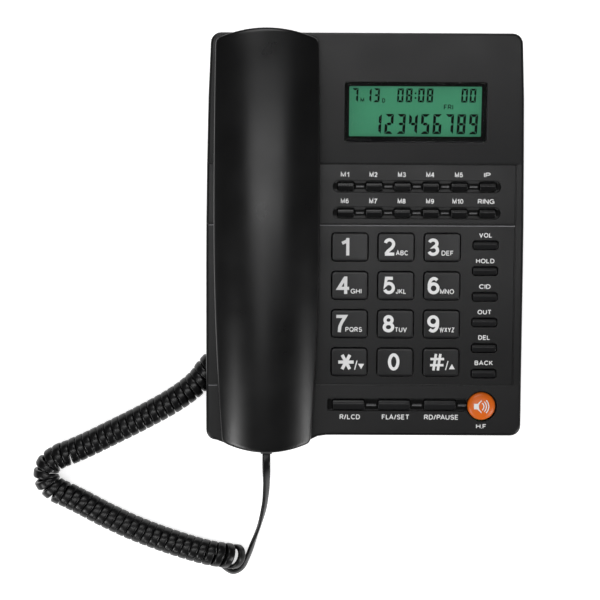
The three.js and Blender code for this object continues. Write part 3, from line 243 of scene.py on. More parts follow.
def floor_material():
    """A pale floor that is white to the camera and in mirrored and refracted views, and keeps its shadow."""
    material, tree, shader = new_material("pale_floor")
    fill(shader, {"Base Color": FLOOR_GREY, "Roughness": 0.7, "Specular IOR Level": 0.1})
    path = node(tree, "ShaderNodeLightPath").outputs
    seen = path["Is Camera Ray"]
    for ray in ("Is Glossy Ray", "Is Transmission Ray"):
        seen = node(tree, "ShaderNodeMath", {0: seen, 1: path[ray]}, operation="MAXIMUM").outputs[0]
    share = node(tree, "ShaderNodeMath", {0: seen, 1: FLOOR_GLOW}, operation="MULTIPLY")
    glow = node(tree, "ShaderNodeEmission", {"Color": WHITE, "Strength": share.outputs[0]})
    total = node(tree, "ShaderNodeAddShader", {0: shader.outputs[0], 1: glow.outputs[0]})
    fill(tree.nodes["Material Output"], {"Surface": total.outputs[0]})
    return material


def make_floor():
    corners = [(x * FLOOR_REACH, y * FLOOR_REACH, 0) for x, y in ((-1, -1), (1, -1), (1, 1), (-1, 1))]
    floor = make_object("floor", corners, [(0, 1, 2, 3)], floor_material(), smooth=False)
    floor.location = (0, 0, -FLOOR_DROP * MM)


def make_sky():
    """White to the camera and faint as a light."""
    world = bpy.data.worlds.new("studio")
    bpy.context.scene.world = world
    world.use_nodes = True
    tree = world.node_tree
    sky = fill(tree.nodes["Background"], {"Color": WHITE, "Strength": SKY_STRENGTH})
    bright = node(tree, "ShaderNodeBackground", {"Color": WHITE})
    path = node(tree, "ShaderNodeLightPath")
    mix = node(tree, "ShaderNodeMixShader", {
        0: path.outputs["Is Camera Ray"], 1: sky.outputs[0], 2: bright.outputs[0]})
    fill(tree.nodes["World Output"], {"Surface": mix.outputs[0]})


def area_light(name, place, aim, width, height, power):
    data = bpy.data.lights.new(name, "AREA")
    data.shape = "RECTANGLE"
    data.size = width * MM
    data.size_y = height * MM
    data.energy = power
    lamp = add(name, data)
    lamp.location = Vector(place) * MM
    lamp.rotation_euler = (Vector(aim) - Vector(place)).to_track_quat("-Z", "Y").to_euler()


make_floor()
make_sky()
for light in LIGHTS:
    area_light(*light)

# The top face of the base, as in the CAD


def slope_at(y):
    return [slope for start, slope in BANDS if y >= start or start == FRONT_Y][-1]


def top_z(y):
    height = FRONT_HEIGHT
    for i, (start, slope) in enumerate(BANDS):
        end = y if i == len(BANDS) - 1 else min(y, BANDS[i + 1][0])
        if i == 0 or y > start:
            height += (end - start) * math.tan(slope)
    return height


def on_face(x, y):
    return Matrix.Translation((x, y, top_z(y))) @ Matrix.Rotation(slope_at(y), 4, "X")


def place(made, matrix):
    """Moves a mesh in millimetre terms: its points are in metres, the matrix in millimetres."""
    scaled = matrix.copy()
    scaled.translation = matrix.translation * MM
    made.data.transform(scaled)
    made.data.update()
    return made


# Cord: the coil's middle line, then the tails, as in the CAD

COIL_ROUTE = [
    (-72.5, -58.5), (-79.3, -62.0), (-84.5, -67.2), (-88.4, -72.6), (-94.5, -78.3), (-104.4, -85.2),
    (-120.1, -93.9), (-135.9, -101.9), (-149.5, -108.6), (-158.5, -112.6), (-165.8, -115.6),
    (-171.3, -120.4), (-172.0, -127.6), (-167.2, -133.2), (-160.5, -136.4), (-151.6, -140.8),
    (-141.1, -146.3), (-125.4, -153.6), (-109.7, -159.6), (-94.9, -164.4), (-84.5, -167.2),
    (-76.6, -168.6),
]
TAIL_ROUTE = [
    (-75.9, -172.6, 2.3), (-74.2, -176.6, 2.2), (-70.3, -178.6, 2.2), (-66.0, -176.6, 2.2),
    (-62.6, -170.6, 2.3), (-59.4, -162.2, 3.4), (-55.6, -151.4, 6.6), (-53.0, -140.4, 12.4),
    (-51.9, -129.0, 20.0),
]
# The tail's last points, in the handset's own frame, and its first, behind the plug in the base
TAIL_INSIDE = [(0, -118.6, 3.6), (0, -112.7, 3.6)]
BASE_PLUG_END = (-73.5, -36.0, 9.4)
BASE_PLUG_LEAD = 3.5
BASE_TAIL_SAG = 0.4
# How far the flat tail stands on edge, in degrees, at shares of its way to the handset
TAIL_TWISTS = [(0, 0), (0.1, 30), (0.2, 62), (0.36, 60), (0.5, 66), (0.6, 84), (0.73, 64), (0.82, 50),
               (0.9, 12), (1, 0)]
TAIL_BLEND = 14
WIRE_WIDTH, WIRE_THICKNESS = 4.3, 2.4
TAIL_WIDTH, TAIL_THICKNESS = 4.3, 2.0
COIL_RADIUS, COIL_PITCH = 6.9, 4.4
COIL_FLOOR_GAP = 0.3
COIL_LAST_TURN = 0.375
AXIS_STEPS = 60
STEPS_PER_TURN = 28
LEAST_WIRE_WIDTH = 1.2
TURN_SHARE = 0.98
# The last turns lean forward, lie closer and are drawn past the axis's end
END_LEAN, END_LEAN_POWER = 52, 1.6
END_TURNS = 4.2
END_ZONE = 9.7
END_PULL = 8.6
WIRE_SIDES = 16


def between(a, b, ta, tb, t):
    """The point at t on the line that is at a when t is ta and at b when t is tb."""
    return a * ((tb - t) / (tb - ta)) + b * ((t - ta) / (tb - ta))


def spline_points(points, per_span):
    """Centripetal Catmull-Rom through points."""
    points = [Vector(p) for p in points]
    full = [points[0] * 2 - points[1]] + points + [points[-1] * 2 - points[-2]]
    out = []
    for p0, p1, p2, p3 in zip(full, full[1:], full[2:], full[3:]):
        t0 = 0.0
        t1 = t0 + math.sqrt((p1 - p0).length)
        t2 = t1 + math.sqrt((p2 - p1).length)
        t3 = t2 + math.sqrt((p3 - p2).length)
        for k in range(per_span):
            t = t1 + (t2 - t1) * k / per_span
            a1 = between(p0, p1, t0, t1, t)
            a2 = between(p1, p2, t1, t2, t)
            a3 = between(p2, p3, t2, t3, t)
            out.append(between(between(a1, a2, t0, t2, t), between(a2, a3, t1, t3, t), t1, t2, t))
    out.append(points[-1].copy())
    return out


def coil_stations():
    """Points of the wire's middle line, each with the direction outwards and the wire's width there."""
    axis = spline_points([(x, y, COIL_RADIUS + COIL_FLOOR_GAP) for x, y in COIL_ROUTE], AXIS_STEPS)
    at = [0.0]
    for a, b in zip(axis, axis[1:]):
        at.append(at[-1] + (b - a).length)
    tangents = []
    for i in range(len(axis)):
        tangents.append((axis[min(i + 1, len(axis) - 1)] - axis[max(i - 1, 0)]).normalized())
    more = END_PULL / COIL_PITCH / END_ZONE
    turns = [run / COIL_PITCH + max(0, run - at[-1] + END_ZONE) * more for run in at]
    whole = round(turns[-1] - COIL_LAST_TURN) + COIL_LAST_TURN
    stretch = turns[-1] / whole
    count = round(whole * STEPS_PER_TURN)
    wound = COIL_RADIUS - WIRE_THICKNESS / 2
    stations = []
    k = 0
    for i in range(count + 1):
        turn = min(turns[-1], whole * stretch * i / count)
        while k < len(axis) - 2 and turns[k + 1] < turn:
            k += 1
        share = (turn - turns[k]) / (turns[k + 1] - turns[k])
        point = axis[k].lerp(axis[k + 1], share)
        tangent = tangents[k].lerp(tangents[k + 1], share).normalized()
        side = Vector((tangent.y, -tangent.x, 0))
        left = whole * (1 - i / count)
        led = max(0, 1 - left / END_TURNS)
        lean = math.radians(END_LEAN) * led ** END_LEAN_POWER
        up = Vector((0, 0, math.cos(lean))) + tangent * math.sin(lean)
        angle = 2 * math.pi * whole * i / count
        out = up * math.cos(angle) - side * math.sin(angle)
        lowered = wound * (1 - math.cos(lean))
        pulled = tangent * END_PULL * led
        stations.append((point + out * wound + pulled - Vector((0, 0, lowered)), out))
    widths = []
    for i in range(count + 1):
        room = WIRE_WIDTH
        for j in (i - STEPS_PER_TURN, i + STEPS_PER_TURN):
            if 0 <= j <= count:
                room = min(room, TURN_SHARE * (stations[j][0] - stations[i][0]).length)
        widths.append(max(LEAST_WIRE_WIDTH, room))
    return [(point, out, width) for (point, out), width in zip(stations, widths)]


def wire_ring(point, across, out, width, thickness):
    """A flat section with soft corners."""
    ring = []
    for i in range(WIRE_SIDES):
        angle = 2 * math.pi * (i + 0.5) / WIRE_SIDES
        c, s = math.cos(angle), math.sin(angle)
        u = math.copysign(abs(c) ** 0.5, c) * width / 2
        v = math.copysign(abs(s) ** 0.5, s) * thickness / 2
        ring.append(point + across * u + out * v)
    return ring


def handset_matrix():
    """Where the handset lies in its cradle."""
    tilt = math.atan2(top_z(REAR_Y) - FRONT_HEIGHT, REAR_Y - FRONT_Y)
    height = FRONT_HEIGHT + (HANDSET_Y - FRONT_Y) * math.tan(tilt) + HANDSET_RISE
    return Matrix.Translation((HANDSET_X, HANDSET_Y, height)) @ Matrix.Rotation(tilt, 4, "X")


def tail_twist(share):
    """The twist at a share of the tail's way, in radians."""
    for (a, va), (b, vb) in zip(TAIL_TWISTS, TAIL_TWISTS[1:]):
        if share <= b:
            t = (share - a) / (b - a)
            return math.radians(va + (vb - va) * t * t * (3 - 2 * t))
    return 0


def cord_lines(coil):
    """Middle lines of the tail to the base and of the tail to the handset, which meet the coil's ends."""
    first, last = coil[0][0], coil[-1][0]
    plug_end = Vector(BASE_PLUG_END)
    lead = (coil[1][0] - first).normalized() * BASE_PLUG_LEAD
    base_tail = spline_points([
        plug_end, plug_end - Vector((0, BASE_PLUG_LEAD, 0)),
        first - lead * 2 - Vector((0, 0, BASE_TAIL_SAG)), first - lead, first], 8)[:-1]
    inside = [handset_matrix() @ Vector(p) for p in TAIL_INSIDE]
    tail = spline_points([last] + TAIL_ROUTE + inside, 10)[1:]
    return base_tail, tail


def tail_face(run, share):
    """The way that the flat tail's face looks, at a share of its way."""
    side = Vector((run.y, -run.x, 0)).normalized()
    up = run.cross(side).normalized()
    if up.z < 0:
        up = -up
    turn = tail_twist(share)
    return up * math.cos(turn) + side * math.sin(turn)


def make_cord(material):
    coil = coil_stations()
    base_tail, tail = cord_lines(coil)
    first_out, last_out = coil[0][1], coil[-1][1]
    path = base_tail + [point for point, _, _ in coil] + tail
    last = len(path) - 1
    tail_from = len(base_tail) + len(coil)
    rings = []
    for i, point in enumerate(path):
        run = (path[min(i + 1, last)] - path[max(i - 1, 0)]).normalized()
        width, thickness = TAIL_WIDTH, TAIL_THICKNESS
        if i < len(base_tail):
            out = Vector((0, 0, 1)).lerp(first_out, i / len(base_tail))
        elif i < tail_from:
            _, out, width = coil[i - len(base_tail)]
            thickness = WIRE_THICKNESS
        else:
            blend = min(1.0, (i - tail_from + 1) / TAIL_BLEND)
            out = last_out.lerp(tail_face(run, (i - tail_from) / (last - tail_from)), blend)
        across = run.cross(out).normalized()
        rings.append(wire_ring(point, across, across.cross(run).normalized(), width, thickness))
    return rings_object("telephone_cord", rings, material), [point * MM for point in path]


# Materials


CLOUD_SCALE, CLOUD_DETAIL = 45, 6
GRAIN_DETAIL, GRAIN_STRENGTH = 3, 0.35


def cloudy(tree, scale, detail, low, high):
    """A cloud that runs between two colours, as the cloud itself, the colours, and the place it hangs on."""
    where = node(tree, "ShaderNodeTexCoord").outputs["Object"]
    noise = node(tree, "ShaderNodeTexNoise", {"Scale": scale, "Detail": detail, "Vector": where})
    cloud = noise.outputs["Fac"]
    ramp = node(tree, "ShaderNodeValToRGB", {"Fac": cloud})
    ramp.color_ramp.elements[0].color = (*low, 1)
    ramp.color_ramp.elements[1].color = (*high, 1)
    return cloud, ramp, where


def plastic(name, colour, roughness, grain=1500, grain_depth=0.02, mottle=0.06, edge=0.0, specular=0.5,
            metallic=0.0):
    """Moulded plastic: a fine grain in its surface, a slight unevenness of colour and gloss, soft edges."""
    material, tree, shader = new_material(name)
    low = [c * (1 - mottle) for c in colour]
    high = [min(1, c * (1 + mottle)) for c in colour]
    cloud, ramp, where = cloudy(tree, CLOUD_SCALE, CLOUD_DETAIL, low, high)
    for element, position in zip(ramp.color_ramp.elements, (0.35, 0.65)):
        element.position = position
    spread = node(tree, "ShaderNodeMapRange", {
        "Value": cloud, "From Min": 0.3, "From Max": 0.7,
        "To Min": roughness - 0.03, "To Max": roughness + 0.04})
    speck = node(tree, "ShaderNodeTexNoise", {"Scale": grain, "Detail": GRAIN_DETAIL, "Vector": where})
    bump = node(tree, "ShaderNodeBump", {
        "Strength": GRAIN_STRENGTH, "Distance": grain_depth * MM, "Height": speck.outputs["Fac"]})
    if edge:
        soft = node(tree, "ShaderNodeBevel", {"Radius": edge * MM}, samples=4)
        fill(bump, {"Normal": soft.outputs["Normal"]})
    fill(shader, {
        "Base Color": ramp.outputs["Color"], "Roughness": spread.outputs["Result"], "Metallic": metallic,
        "Normal": bump.outputs["Normal"], "Specular IOR Level": specular})
    return material


def clear_plastic(name, colour, roughness):
    """Clear plastic with a slight unevenness of gloss and tint."""
    material, tree, shader = new_material(name)
    cloud, ramp, _ = cloudy(tree, 300, 2, [c * 0.96 for c in colour], colour)
    spread = node(tree, "ShaderNodeMapRange", {
        "Value": cloud, "To Min": roughness, "To Max": roughness + 0.04})
    fill(shader, {
        "Base Color": ramp.outputs["Color"], "Roughness": spread.outputs["Result"],
        "Transmission Weight": 1.0, "IOR": 1.25})
    return material


FINE = {"grain": 2500, "grain_depth": 0.004}
GLASSY = {"specular": 0.1, "grain": 3500, "grain_depth": 0.003}
CAP = {"grain": 2200, "grain_depth": 0.01}
BASE = plastic("base_plastic", (0.005, 0.005, 0.0053), 0.33, edge=0.35, specular=0.2)
HANDSET = plastic("handset_plastic", (0.003, 0.003, 0.0032), 0.30, 1800, 0.01, specular=0.3)
KEY = plastic("key_plastic", (0.008, 0.008, 0.0085), 0.33, specular=0.22, **CAP)
# A darker copy of the key plastic that paints shade on the memory caps
SHADED_KEY = plastic("shaded_key_plastic", (0.005, 0.005, 0.0053), 0.26, specular=0.28, **CAP)
ORANGE = plastic("orange_plastic", (0.60, 0.112, 0.006), 0.36, 900, 0.008, specular=0.32)
RUBBER = plastic("soft_rubber", (0.012, 0.012, 0.012), 0.75, 900, 0.05)
SOCKET = plastic("socket_plastic", (0.012, 0.012, 0.0125), 0.5)
BOARD = plastic("circuit_board", (0.03, 0.16, 0.06), 0.5)
METAL = plastic("speaker_metal", (0.42, 0.42, 0.43), 0.35, 400, metallic=1.0)
CORD = plastic("cord_jacket", (0.003, 0.003, 0.0033), 0.3, 1200, 0.012, specular=0.28)
PRINT = plastic("white_print", (0.67, 0.67, 0.67), 0.5, 3000, 0.004, mottle=0.03)
GREEN = plastic("display_green", (0.068, 0.31, 0.175), 0.55, mottle=0.02, **GLASSY)
SEGMENT = plastic("display_segment", (0.002, 0.004, 0.003), 0.6, **GLASSY)
MASK = plastic("display_mask", (0.003, 0.003, 0.003), 0.5, specular=0.1, **FINE)
# Light grey on the black housing: a painted highlight for the grooves' front walls
PAINTED_GROOVE_HIGHLIGHT = plastic("painted_groove_highlight", (0.2, 0.2, 0.21), 0.25, specular=0.8, **FINE)
# Grey on the black runners: a painted highlight for the runner bars' tops
PAINTED_BAR_HIGHLIGHT = plastic("painted_bar_highlight", (0.045, 0.045, 0.047), 0.35, specular=0.4, **FINE)
# Darker and duller than the housing: painted shade for the slots' floors and sides
PAINTED_SLOT_SHADE = plastic("painted_slot_shade", (0.003, 0.003, 0.003), 0.6, specular=0.1, **FINE)
SCREW = plastic("screw_steel", (0.30, 0.30, 0.31), 0.3, 700, metallic=1.0)
CLEAR = clear_plastic("window_plastic", (0.95, 0.97, 0.96), 0.02)
PLUG = clear_plastic("plug_plastic", (0.75, 0.77, 0.77), 0.12)


def dress(names, material):
    for name in names:
        made = NODES[name]
        made.data.materials.clear()
        made.data.materials.append(material)


dress(["top_housing", "bottom_cover", "hook_plunger"], BASE)
dress(["handset_outer_shell", "handset_inner_shell"], HANDSET)
dress(["foot_1", "foot_2", "foot_3", "foot_4", "keypad_mat"], RUBBER)
dress(["line_jack", "base_handset_jack", "handset_jack", "hook_switch", "handset_plug"], SOCKET)
dress(["main_circuit_board"], BOARD)
dress(["loudspeaker", "receiver_capsule", "microphone"], METAL)
dress(["display_panel"], MASK)
dress(["display_window"], CLEAR)
dress(["base_plug"], PLUG)
dress([name for name in NODES if name.startswith(("key_", "memory_", "side_", "function_"))], KEY)
dress(["handsfree_button"], ORANGE)
dress(["curly_cord", "handset_tail", "base_tail"], CORD)

cord, cord_path = make_cord(CORD)
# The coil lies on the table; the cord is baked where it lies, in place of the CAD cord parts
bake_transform(cord)
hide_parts("curly_cord", "handset_tail", "base_tail")

# Caps of keys and buttons, with soft edges over the CAD node's outline

CAP_FOOT = -SKIN - CLEARANCE - CAP_REACH
EDGE_RUNS = 8
BEVEL_STEPS = 4


def key_cap(name, width, depth, radius, top, bevel, material, steps=6, rows=7):
    """top(x, y) gives the height of the face; the rows run in over it from the rounded edge."""
    least = min(width, depth) / 2 - 0.05
    turns = [math.pi / 2 * i / BEVEL_STEPS for i in range(BEVEL_STEPS + 1)]
    levels = [(bevel * (1 - math.cos(a)), bevel * (1 - math.sin(a))) for a in turns]
    levels += [(bevel + (least - bevel) * i / rows, 0) for i in range(1, rows + 1)]
    foot = rounded_outline(width, depth, radius, steps, EDGE_RUNS)
    rings = [[Vector((x, y, CAP_FOOT)) for x, y in foot]]
    for inset, drop in levels:
        outline = rounded_outline(width - 2 * inset, depth - 2 * inset, radius - inset, steps, EDGE_RUNS)
        rings.append([Vector((x, y, top(x, y) - drop)) for x, y in outline])
    return sharpen(rings_object(name, rings, material), 50)


# Lettering: strokes of one width


def turned(strokes, width):
    """The same strokes turned half round."""
    return [[(width - x, 1 - y) for x, y in points] for points in strokes]


def bowl(x, y, rx, ry):
    """From the stem round to the right and back to it."""
    return [(0, y + ry)] + arc(x, y, rx, ry, 90, -90) + [(0, y - ry)]


STEM = [(0, 0), (0, 1)]
SIX = [arc(0.3, 0.31, 0.3, 0.31, 180, -180), arc(0.32, 0.5, 0.32, 0.5, 48, 200)]
# Each glyph: the width of its strokes' middle lines where their height is 1, and the strokes
GLYPHS = {
    "A": (0.8, [[(0, 0), (0.4, 1), (0.8, 0)], [(0.13, 0.3), (0.67, 0.3)]]),
    "B": (0.64, [STEM, bowl(0.38, 0.765, 0.22, 0.235), bowl(0.39, 0.265, 0.25, 0.265)]),
    "C": (0.76, [arc(0.42, 0.5, 0.42, 0.5, 42, 318)]),
    "D": (0.72, [STEM, bowl(0.3, 0.5, 0.42, 0.5)]),
    "E": (0.56, [[(0.56, 1), (0, 1), (0, 0), (0.56, 0)], [(0, 0.52), (0.5, 0.52)]]),
    "F": (0.54, [[(0.54, 1), (0, 1), (0, 0)], [(0, 0.5), (0.46, 0.5)]]),
    "G": (0.8, [arc(0.42, 0.5, 0.42, 0.5, 42, 320) + [(0.8, 0.14), (0.8, 0.46), (0.46, 0.46)]]),
    "H": (0.68, [STEM, [(0.68, 0), (0.68, 1)], [(0, 0.52), (0.68, 0.52)]]),
    "I": (0, [STEM]),
    "J": (0.44, [[(0.44, 1)] + arc(0.22, 0.24, 0.22, 0.24, 0, -180) + [(0, 0.32)]]),
    "K": (0.66, [STEM, [(0.62, 1), (0, 0.36)], [(0.2, 0.57), (0.66, 0)]]),
    "L": (0.52, [[(0, 1), (0, 0), (0.52, 0)]]),
    "M": (0.82, [[(0, 0), (0, 1), (0.41, 0.08), (0.82, 1), (0.82, 0)]]),
    "N": (0.68, [[(0, 0), (0, 1), (0.68, 0), (0.68, 1)]]),
    "O": (0.86, [arc(0.43, 0.5, 0.43, 0.5, 180, -180)]),
    "P": (0.6, [STEM, bowl(0.35, 0.74, 0.25, 0.26)]),
    "Q": (0.86, [arc(0.43, 0.5, 0.43, 0.5, 180, -180), [(0.5, 0.28), (0.86, -0.02)]]),
    "R": (0.66, [STEM, bowl(0.37, 0.74, 0.25, 0.26), [(0.36, 0.48), (0.66, 0)]]),
    "S": (0.64, [arc(0.32, 0.755, 0.28, 0.245, 18, 255) + arc(0.33, 0.265, 0.3, 0.265, 75, -160)]),
    "T": (0.66, [[(0, 1), (0.66, 1)], [(0.33, 1), (0.33, 0)]]),
    "U": (0.68, [[(0, 1)] + arc(0.34, 0.32, 0.34, 0.32, 180, 360) + [(0.68, 1)]]),
    "V": (0.74, [[(0, 1), (0.37, 0), (0.74, 1)]]),
    "W": (1.08, [[(0, 1), (0.27, 0), (0.54, 1), (0.81, 0), (1.08, 1)]]),
    "X": (0.7, [[(0, 0), (0.7, 1)], [(0, 1), (0.7, 0)]]),
    "Y": (0.72, [[(0, 1), (0.36, 0.45), (0.72, 1)], [(0.36, 0.45), (0.36, 0)]]),
    "Z": (0.64, [[(0, 1), (0.64, 1), (0, 0), (0.64, 0)]]),
    "/": (0.34, [[(0, -0.05), (0.34, 1.05)]]),
    ".": (0, [[(0, -0.05), (0, 0.09)]]),
    "0": (0.62, [arc(0.31, 0.5, 0.31, 0.5, 180, -180)]),
    "1": (0.34, [[(0.34, -0.11), (0.34, 1.11)], [(0.36, 1.0), (0.25, 0.87), (0, 0.74)]]),
    "2": (0.6, [arc(0.3, 0.7, 0.28, 0.3, 165, -20) + [(0.48, 0.45), (0.2, 0.2), (0.06, 0)],
                [(0, 0), (0.63, 0)]]),
    "3": (0.6, [arc(0.28, 0.755, 0.27, 0.245, 160, -75) + arc(0.29, 0.27, 0.31, 0.27, 75, -160)]),
    "4": (0.66, [[(0.42, 1.02), (0, 0.28), (0.68, 0.28)], [(0.46, 1.11), (0.46, -0.11)]]),
    "5": (0.6, [[(0.56, 1), (0.12, 1), (0.04, 0.5)] + arc(0.29, 0.32, 0.31, 0.32, 128, -158)]),
    "6": (0.6, SIX),
    "7": (0.6, [[(0, 1), (0.6, 1), (0.38, 0.62), (0.24, 0.3), (0.2, -0.11)]]),
    "8": (0.6, [arc(0.3, 0.76, 0.25, 0.24, 180, -180), arc(0.3, 0.26, 0.3, 0.26, 180, -180)]),
    "9": (0.6, turned(SIX, 0.6)),
}


def ribbon(points, width):
    """Left and right edges of a stroke with mitred corners."""
    points = [Vector(p) for p in points]
    points = [p for i, p in enumerate(points) if i == 0 or (p - points[i - 1]).length > 0.001]
    last = len(points) - 1
    lines = [b - a for a, b in zip(points, points[1:])]
    closed = (points[0] - points[-1]).length < 0.01
    edges = ([], [])
    for i, point in enumerate(points):
        before = lines[i - 1] if i or closed else lines[0]
        after = lines[i] if i < last else (lines[0] if closed else before)
        n0 = Vector((-before.y, before.x)).normalized()
        n1 = Vector((-after.y, after.x)).normalized()
        mitre = (n0 + n1).normalized()
        reach = width / 2 / max(0.35, mitre.dot(n0))
        edges[0].append(point + mitre * reach)
        edges[1].append(point - mitre * reach)
    return edges


THICKER = 0.002


def strokes_mesh(strokes, width, material, thickness):
    """Strokes as flat ribbons; each is a touch thicker than the one before, so that crossings stay clean."""
    parts = []
    for number, points in enumerate(strokes):
        top, foot = thickness / 2 + THICKER * number, -thickness / 2
        rings = [[(*a, top), (*b, top), (*b, foot), (*a, foot)] for a, b in zip(*ribbon(points, width))]
        parts.append(rings_object("stroke", rings, material, smooth=False))
    return joined("lettering", parts)


# Shares of the cap height by which some pairs stand closer, and the gap of all
CLOSER = {"LA": 0.14, "PA": 0.14, "A/": 0.06, "/S": 0.06, "R/": 0.04, "D/": 0.04, "AU": 0.05}
LETTER_GAP_SHARE = 0.13


def lettering(text, cap, weight, material, thickness, width=None):
    """Words in millimetres, centred on their middle, as high as cap and as wide as width."""
    high = cap - weight
    gap = LETTER_GAP_SHARE * cap
    natural = sum(GLYPHS[c][0] for c in text) * high
    drawn_in = [CLOSER.get(text[i:i + 2], 0) * cap for i in range(len(text))]
    rest = len(text) * weight + (len(text) - 1) * gap - sum(drawn_in)
    wide = (width - rest) / natural if width and natural else 1
    at = -(natural * wide + rest) / 2
    strokes = []
    for c, nearer in zip(text, drawn_in):
        advance, lines = GLYPHS[c]
        for points in lines:
            strokes.append([
                (at + weight / 2 + x * high * wide, weight / 2 - cap / 2 + y * high) for x, y in points])
        at += advance * high * wide + weight + gap - nearer
    return strokes_mesh(strokes, weight, material, thickness)


def shape_mesh(outlines, material, thickness):
    """Flat shapes from outlines in millimetres."""
    parts = []
    for outline in outlines:
        rings = [[(x, y, z) for x, y in outline] for z in (-thickness / 2, thickness / 2)]
        parts.append(rings_object("shape", rings, material, smooth=False))
    return joined("shape", parts)


def bar(x0, y0, x1, y1, width):
    side = Vector((-(y1 - y0), x1 - x0)).normalized() * width / 2
    return [(x0 - side.x, y0 - side.y), (x1 - side.x, y1 - side.y), (x1 + side.x, y1 + side.y),
            (x0 + side.x, y0 + side.y)]


def moved(made, x, y):
    """Moves flat lettering in its own plane."""
    for vertex in made.data.vertices:
        vertex.co.x += x * MM
        vertex.co.y += y * MM
    return made


def laid(made, height):
    """Lays flat lettering on a face of the given height."""
    for vertex in made.data.vertices:
        vertex.co.z += height(vertex.co.x / MM, vertex.co.y / MM) * MM
    return made


# The front walls of the grooves across the face stand out as fine slopes that face the rear, in a light grey
# that paints their highlight

GROOVE_DROP = 0.35
GROOVE_PROFILE = [(-0.62, -0.30), (0.0, -0.30), (0.0, -0.16), (-0.36, 0.22), (-0.50, 0.20), (-0.62, 0.02)]


def groove_edge(y, x0, x1):
    z = top_z(y)
    lift = math.tan(slope_at(y))
    rings = [[Vector((x, y + py, z + py * lift + pz)) for py, pz in GROOVE_PROFILE] for x in (x0, x1)]
    made = rings_object("groove_edge", rings, PAINTED_GROOVE_HIGHLIGHT, smooth=False)
    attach(made, "base")


groove_edge(MIDDLE_BAND_Y - GROOVE_DROP, -82.9, 79.6)
groove_edge(LOWER_BAND_Y - GROOVE_DROP, -83.1, -78.4)

# Dial keys

DIAL_RISE, DIAL_DISH = 1.5, 0.35
DIAL_RADIUS, DIAL_BEVEL = 1.7, 0.45
PRINT_THICKNESS, PRINT_LIFT = 0.08, 0.03
DIGIT_CAP, DIGIT_WEIGHT, DIGIT_UP = 9.3, 1.68, 0.2
GROUP_CAP, GROUP_WEIGHT, GROUP_DOWN = 2.6, 0.43, 2.95


def dial_top(x, y):
    return DIAL_RISE - DIAL_DISH * (1 - (2 * x / DIAL_WIDTH) ** 2)


# Each digit: its place and width, and its letters with theirs
DIAL_MARKS = {
    "1": (-2.7, 4.7, "", 0, 0), "2": (-3.6, 6.4, "ABC", 3.1, 6.5), "3": (-4.8, 6.2, "DEF", 2.8, 6.4),
    "4": (-3.2, 7.1, "GHI", 3.4, 5.8), "5": (-3.6, 6.3, "JKL", 2.8, 5.5), "6": (-4.4, 6.4, "MNO", 2.8, 7.4),
    "7": (-4.6, 6.5, "PQRS", 2.3, 8.9), "8": (-3.7, 6.2, "TUV", 2.9, 6.4),
    "9": (-4.4, 6.4, "WXYZ", 3.0, 7.8), "0": (-0.7, 6.2, "", 0, 0),
}


STAR_ARM, STAR_REACH_X, STAR_REACH_Y, STAR_X = 1.7, 4.1, 4.4, -1.7
STAR = []
for turn in (0, math.pi / 3, 2 * math.pi / 3):
    reach_x, reach_y = math.cos(turn) * STAR_REACH_X, math.sin(turn) * STAR_REACH_Y
    STAR.append(bar(STAR_X - reach_x, -reach_y, STAR_X + reach_x, reach_y, STAR_ARM))
STAR += [bar(2.9, -4.1, 4.2, 0.8, 0.55), [(4.7, -0.9), (6.4, -3.7), (8.0, -0.9)]]
HASH = [
    bar(-4.0, -4.3, -2.7, 4.6, 1.35), bar(-1.6, -4.3, -0.3, 4.6, 1.35),
    bar(-5.6, 1.85, 1.7, 1.85, 1.3), bar(-5.8, -1.45, 1.4, -1.45, 1.3),
    bar(2.5, -4.1, 3.8, 0.8, 0.55), [(4.3, -3.6), (7.5, -3.6), (5.9, -0.8)],
]


def dial_marks(digit):
    """The lettering of one key, flat and round the key's middle."""
    shapes = {"star": STAR, "hash": HASH}.get(digit)
    if shapes:
        return [shape_mesh([shape], PRINT, PRINT_THICKNESS + THICKER * i) for i, shape in enumerate(shapes)]
    digit_x, digit_width, letters, letters_x, letters_width = DIAL_MARKS[digit]
    figure = lettering(digit, DIGIT_CAP, DIGIT_WEIGHT, PRINT, PRINT_THICKNESS, digit_width)
    marks = [moved(figure, digit_x, DIGIT_UP)]
    if letters:
        group = lettering(letters, GROUP_CAP, GROUP_WEIGHT, PRINT, PRINT_THICKNESS, letters_width)
        marks.append(moved(group, letters_x, -GROUP_DOWN))
    return marks


for r, row in enumerate(["123", "456", "789", ["star", "0", "hash"]]):
    for c, digit in enumerate(row):
        name = "key_" + digit
        spot = on_face(DIAL_X + (c - 1) * DIAL_PITCH_X, DIAL_Y + (1.5 - r) * DIAL_PITCH_Y)
        cap = key_cap("cap_" + name, DIAL_WIDTH, DIAL_DEPTH, DIAL_RADIUS, dial_top, DIAL_BEVEL, KEY)
        place(cap, spot)
        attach(cap, name)
        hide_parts(name)
        marks = joined("print_" + name, [laid(mark, dial_top) for mark in dial_marks(digit)])
        place(marks, spot @ Matrix.Translation((0, 0, PRINT_LIFT)))
        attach(marks, name)

# Small buttons with their roof-shaped caps

ROOF_EAVES, ROOF_RIDGE, ROOF_CREST_SHARE, ROOF_POWER = -0.35, 0.6, 0.12, 1.5
SMALL_RADIUS, SMALL_BEVEL = 0.7, 0.22
# How much narrower and shallower than the CAD buttons the caps are, and how far to the front they stand
CAP_NARROWER, CAP_SHALLOWER, CAP_FORWARD = 0.3, 0.4, 0.1


def roof_top(depth):
    crest = ROOF_CREST_SHARE * depth

    def top(x, y):
        share = min(1, abs(y - crest) / (depth / 2 + (crest if y < crest else -crest)))
        return ROOF_EAVES + (ROOF_RIDGE - ROOF_EAVES) * (1 - share ** ROOF_POWER)
    return top


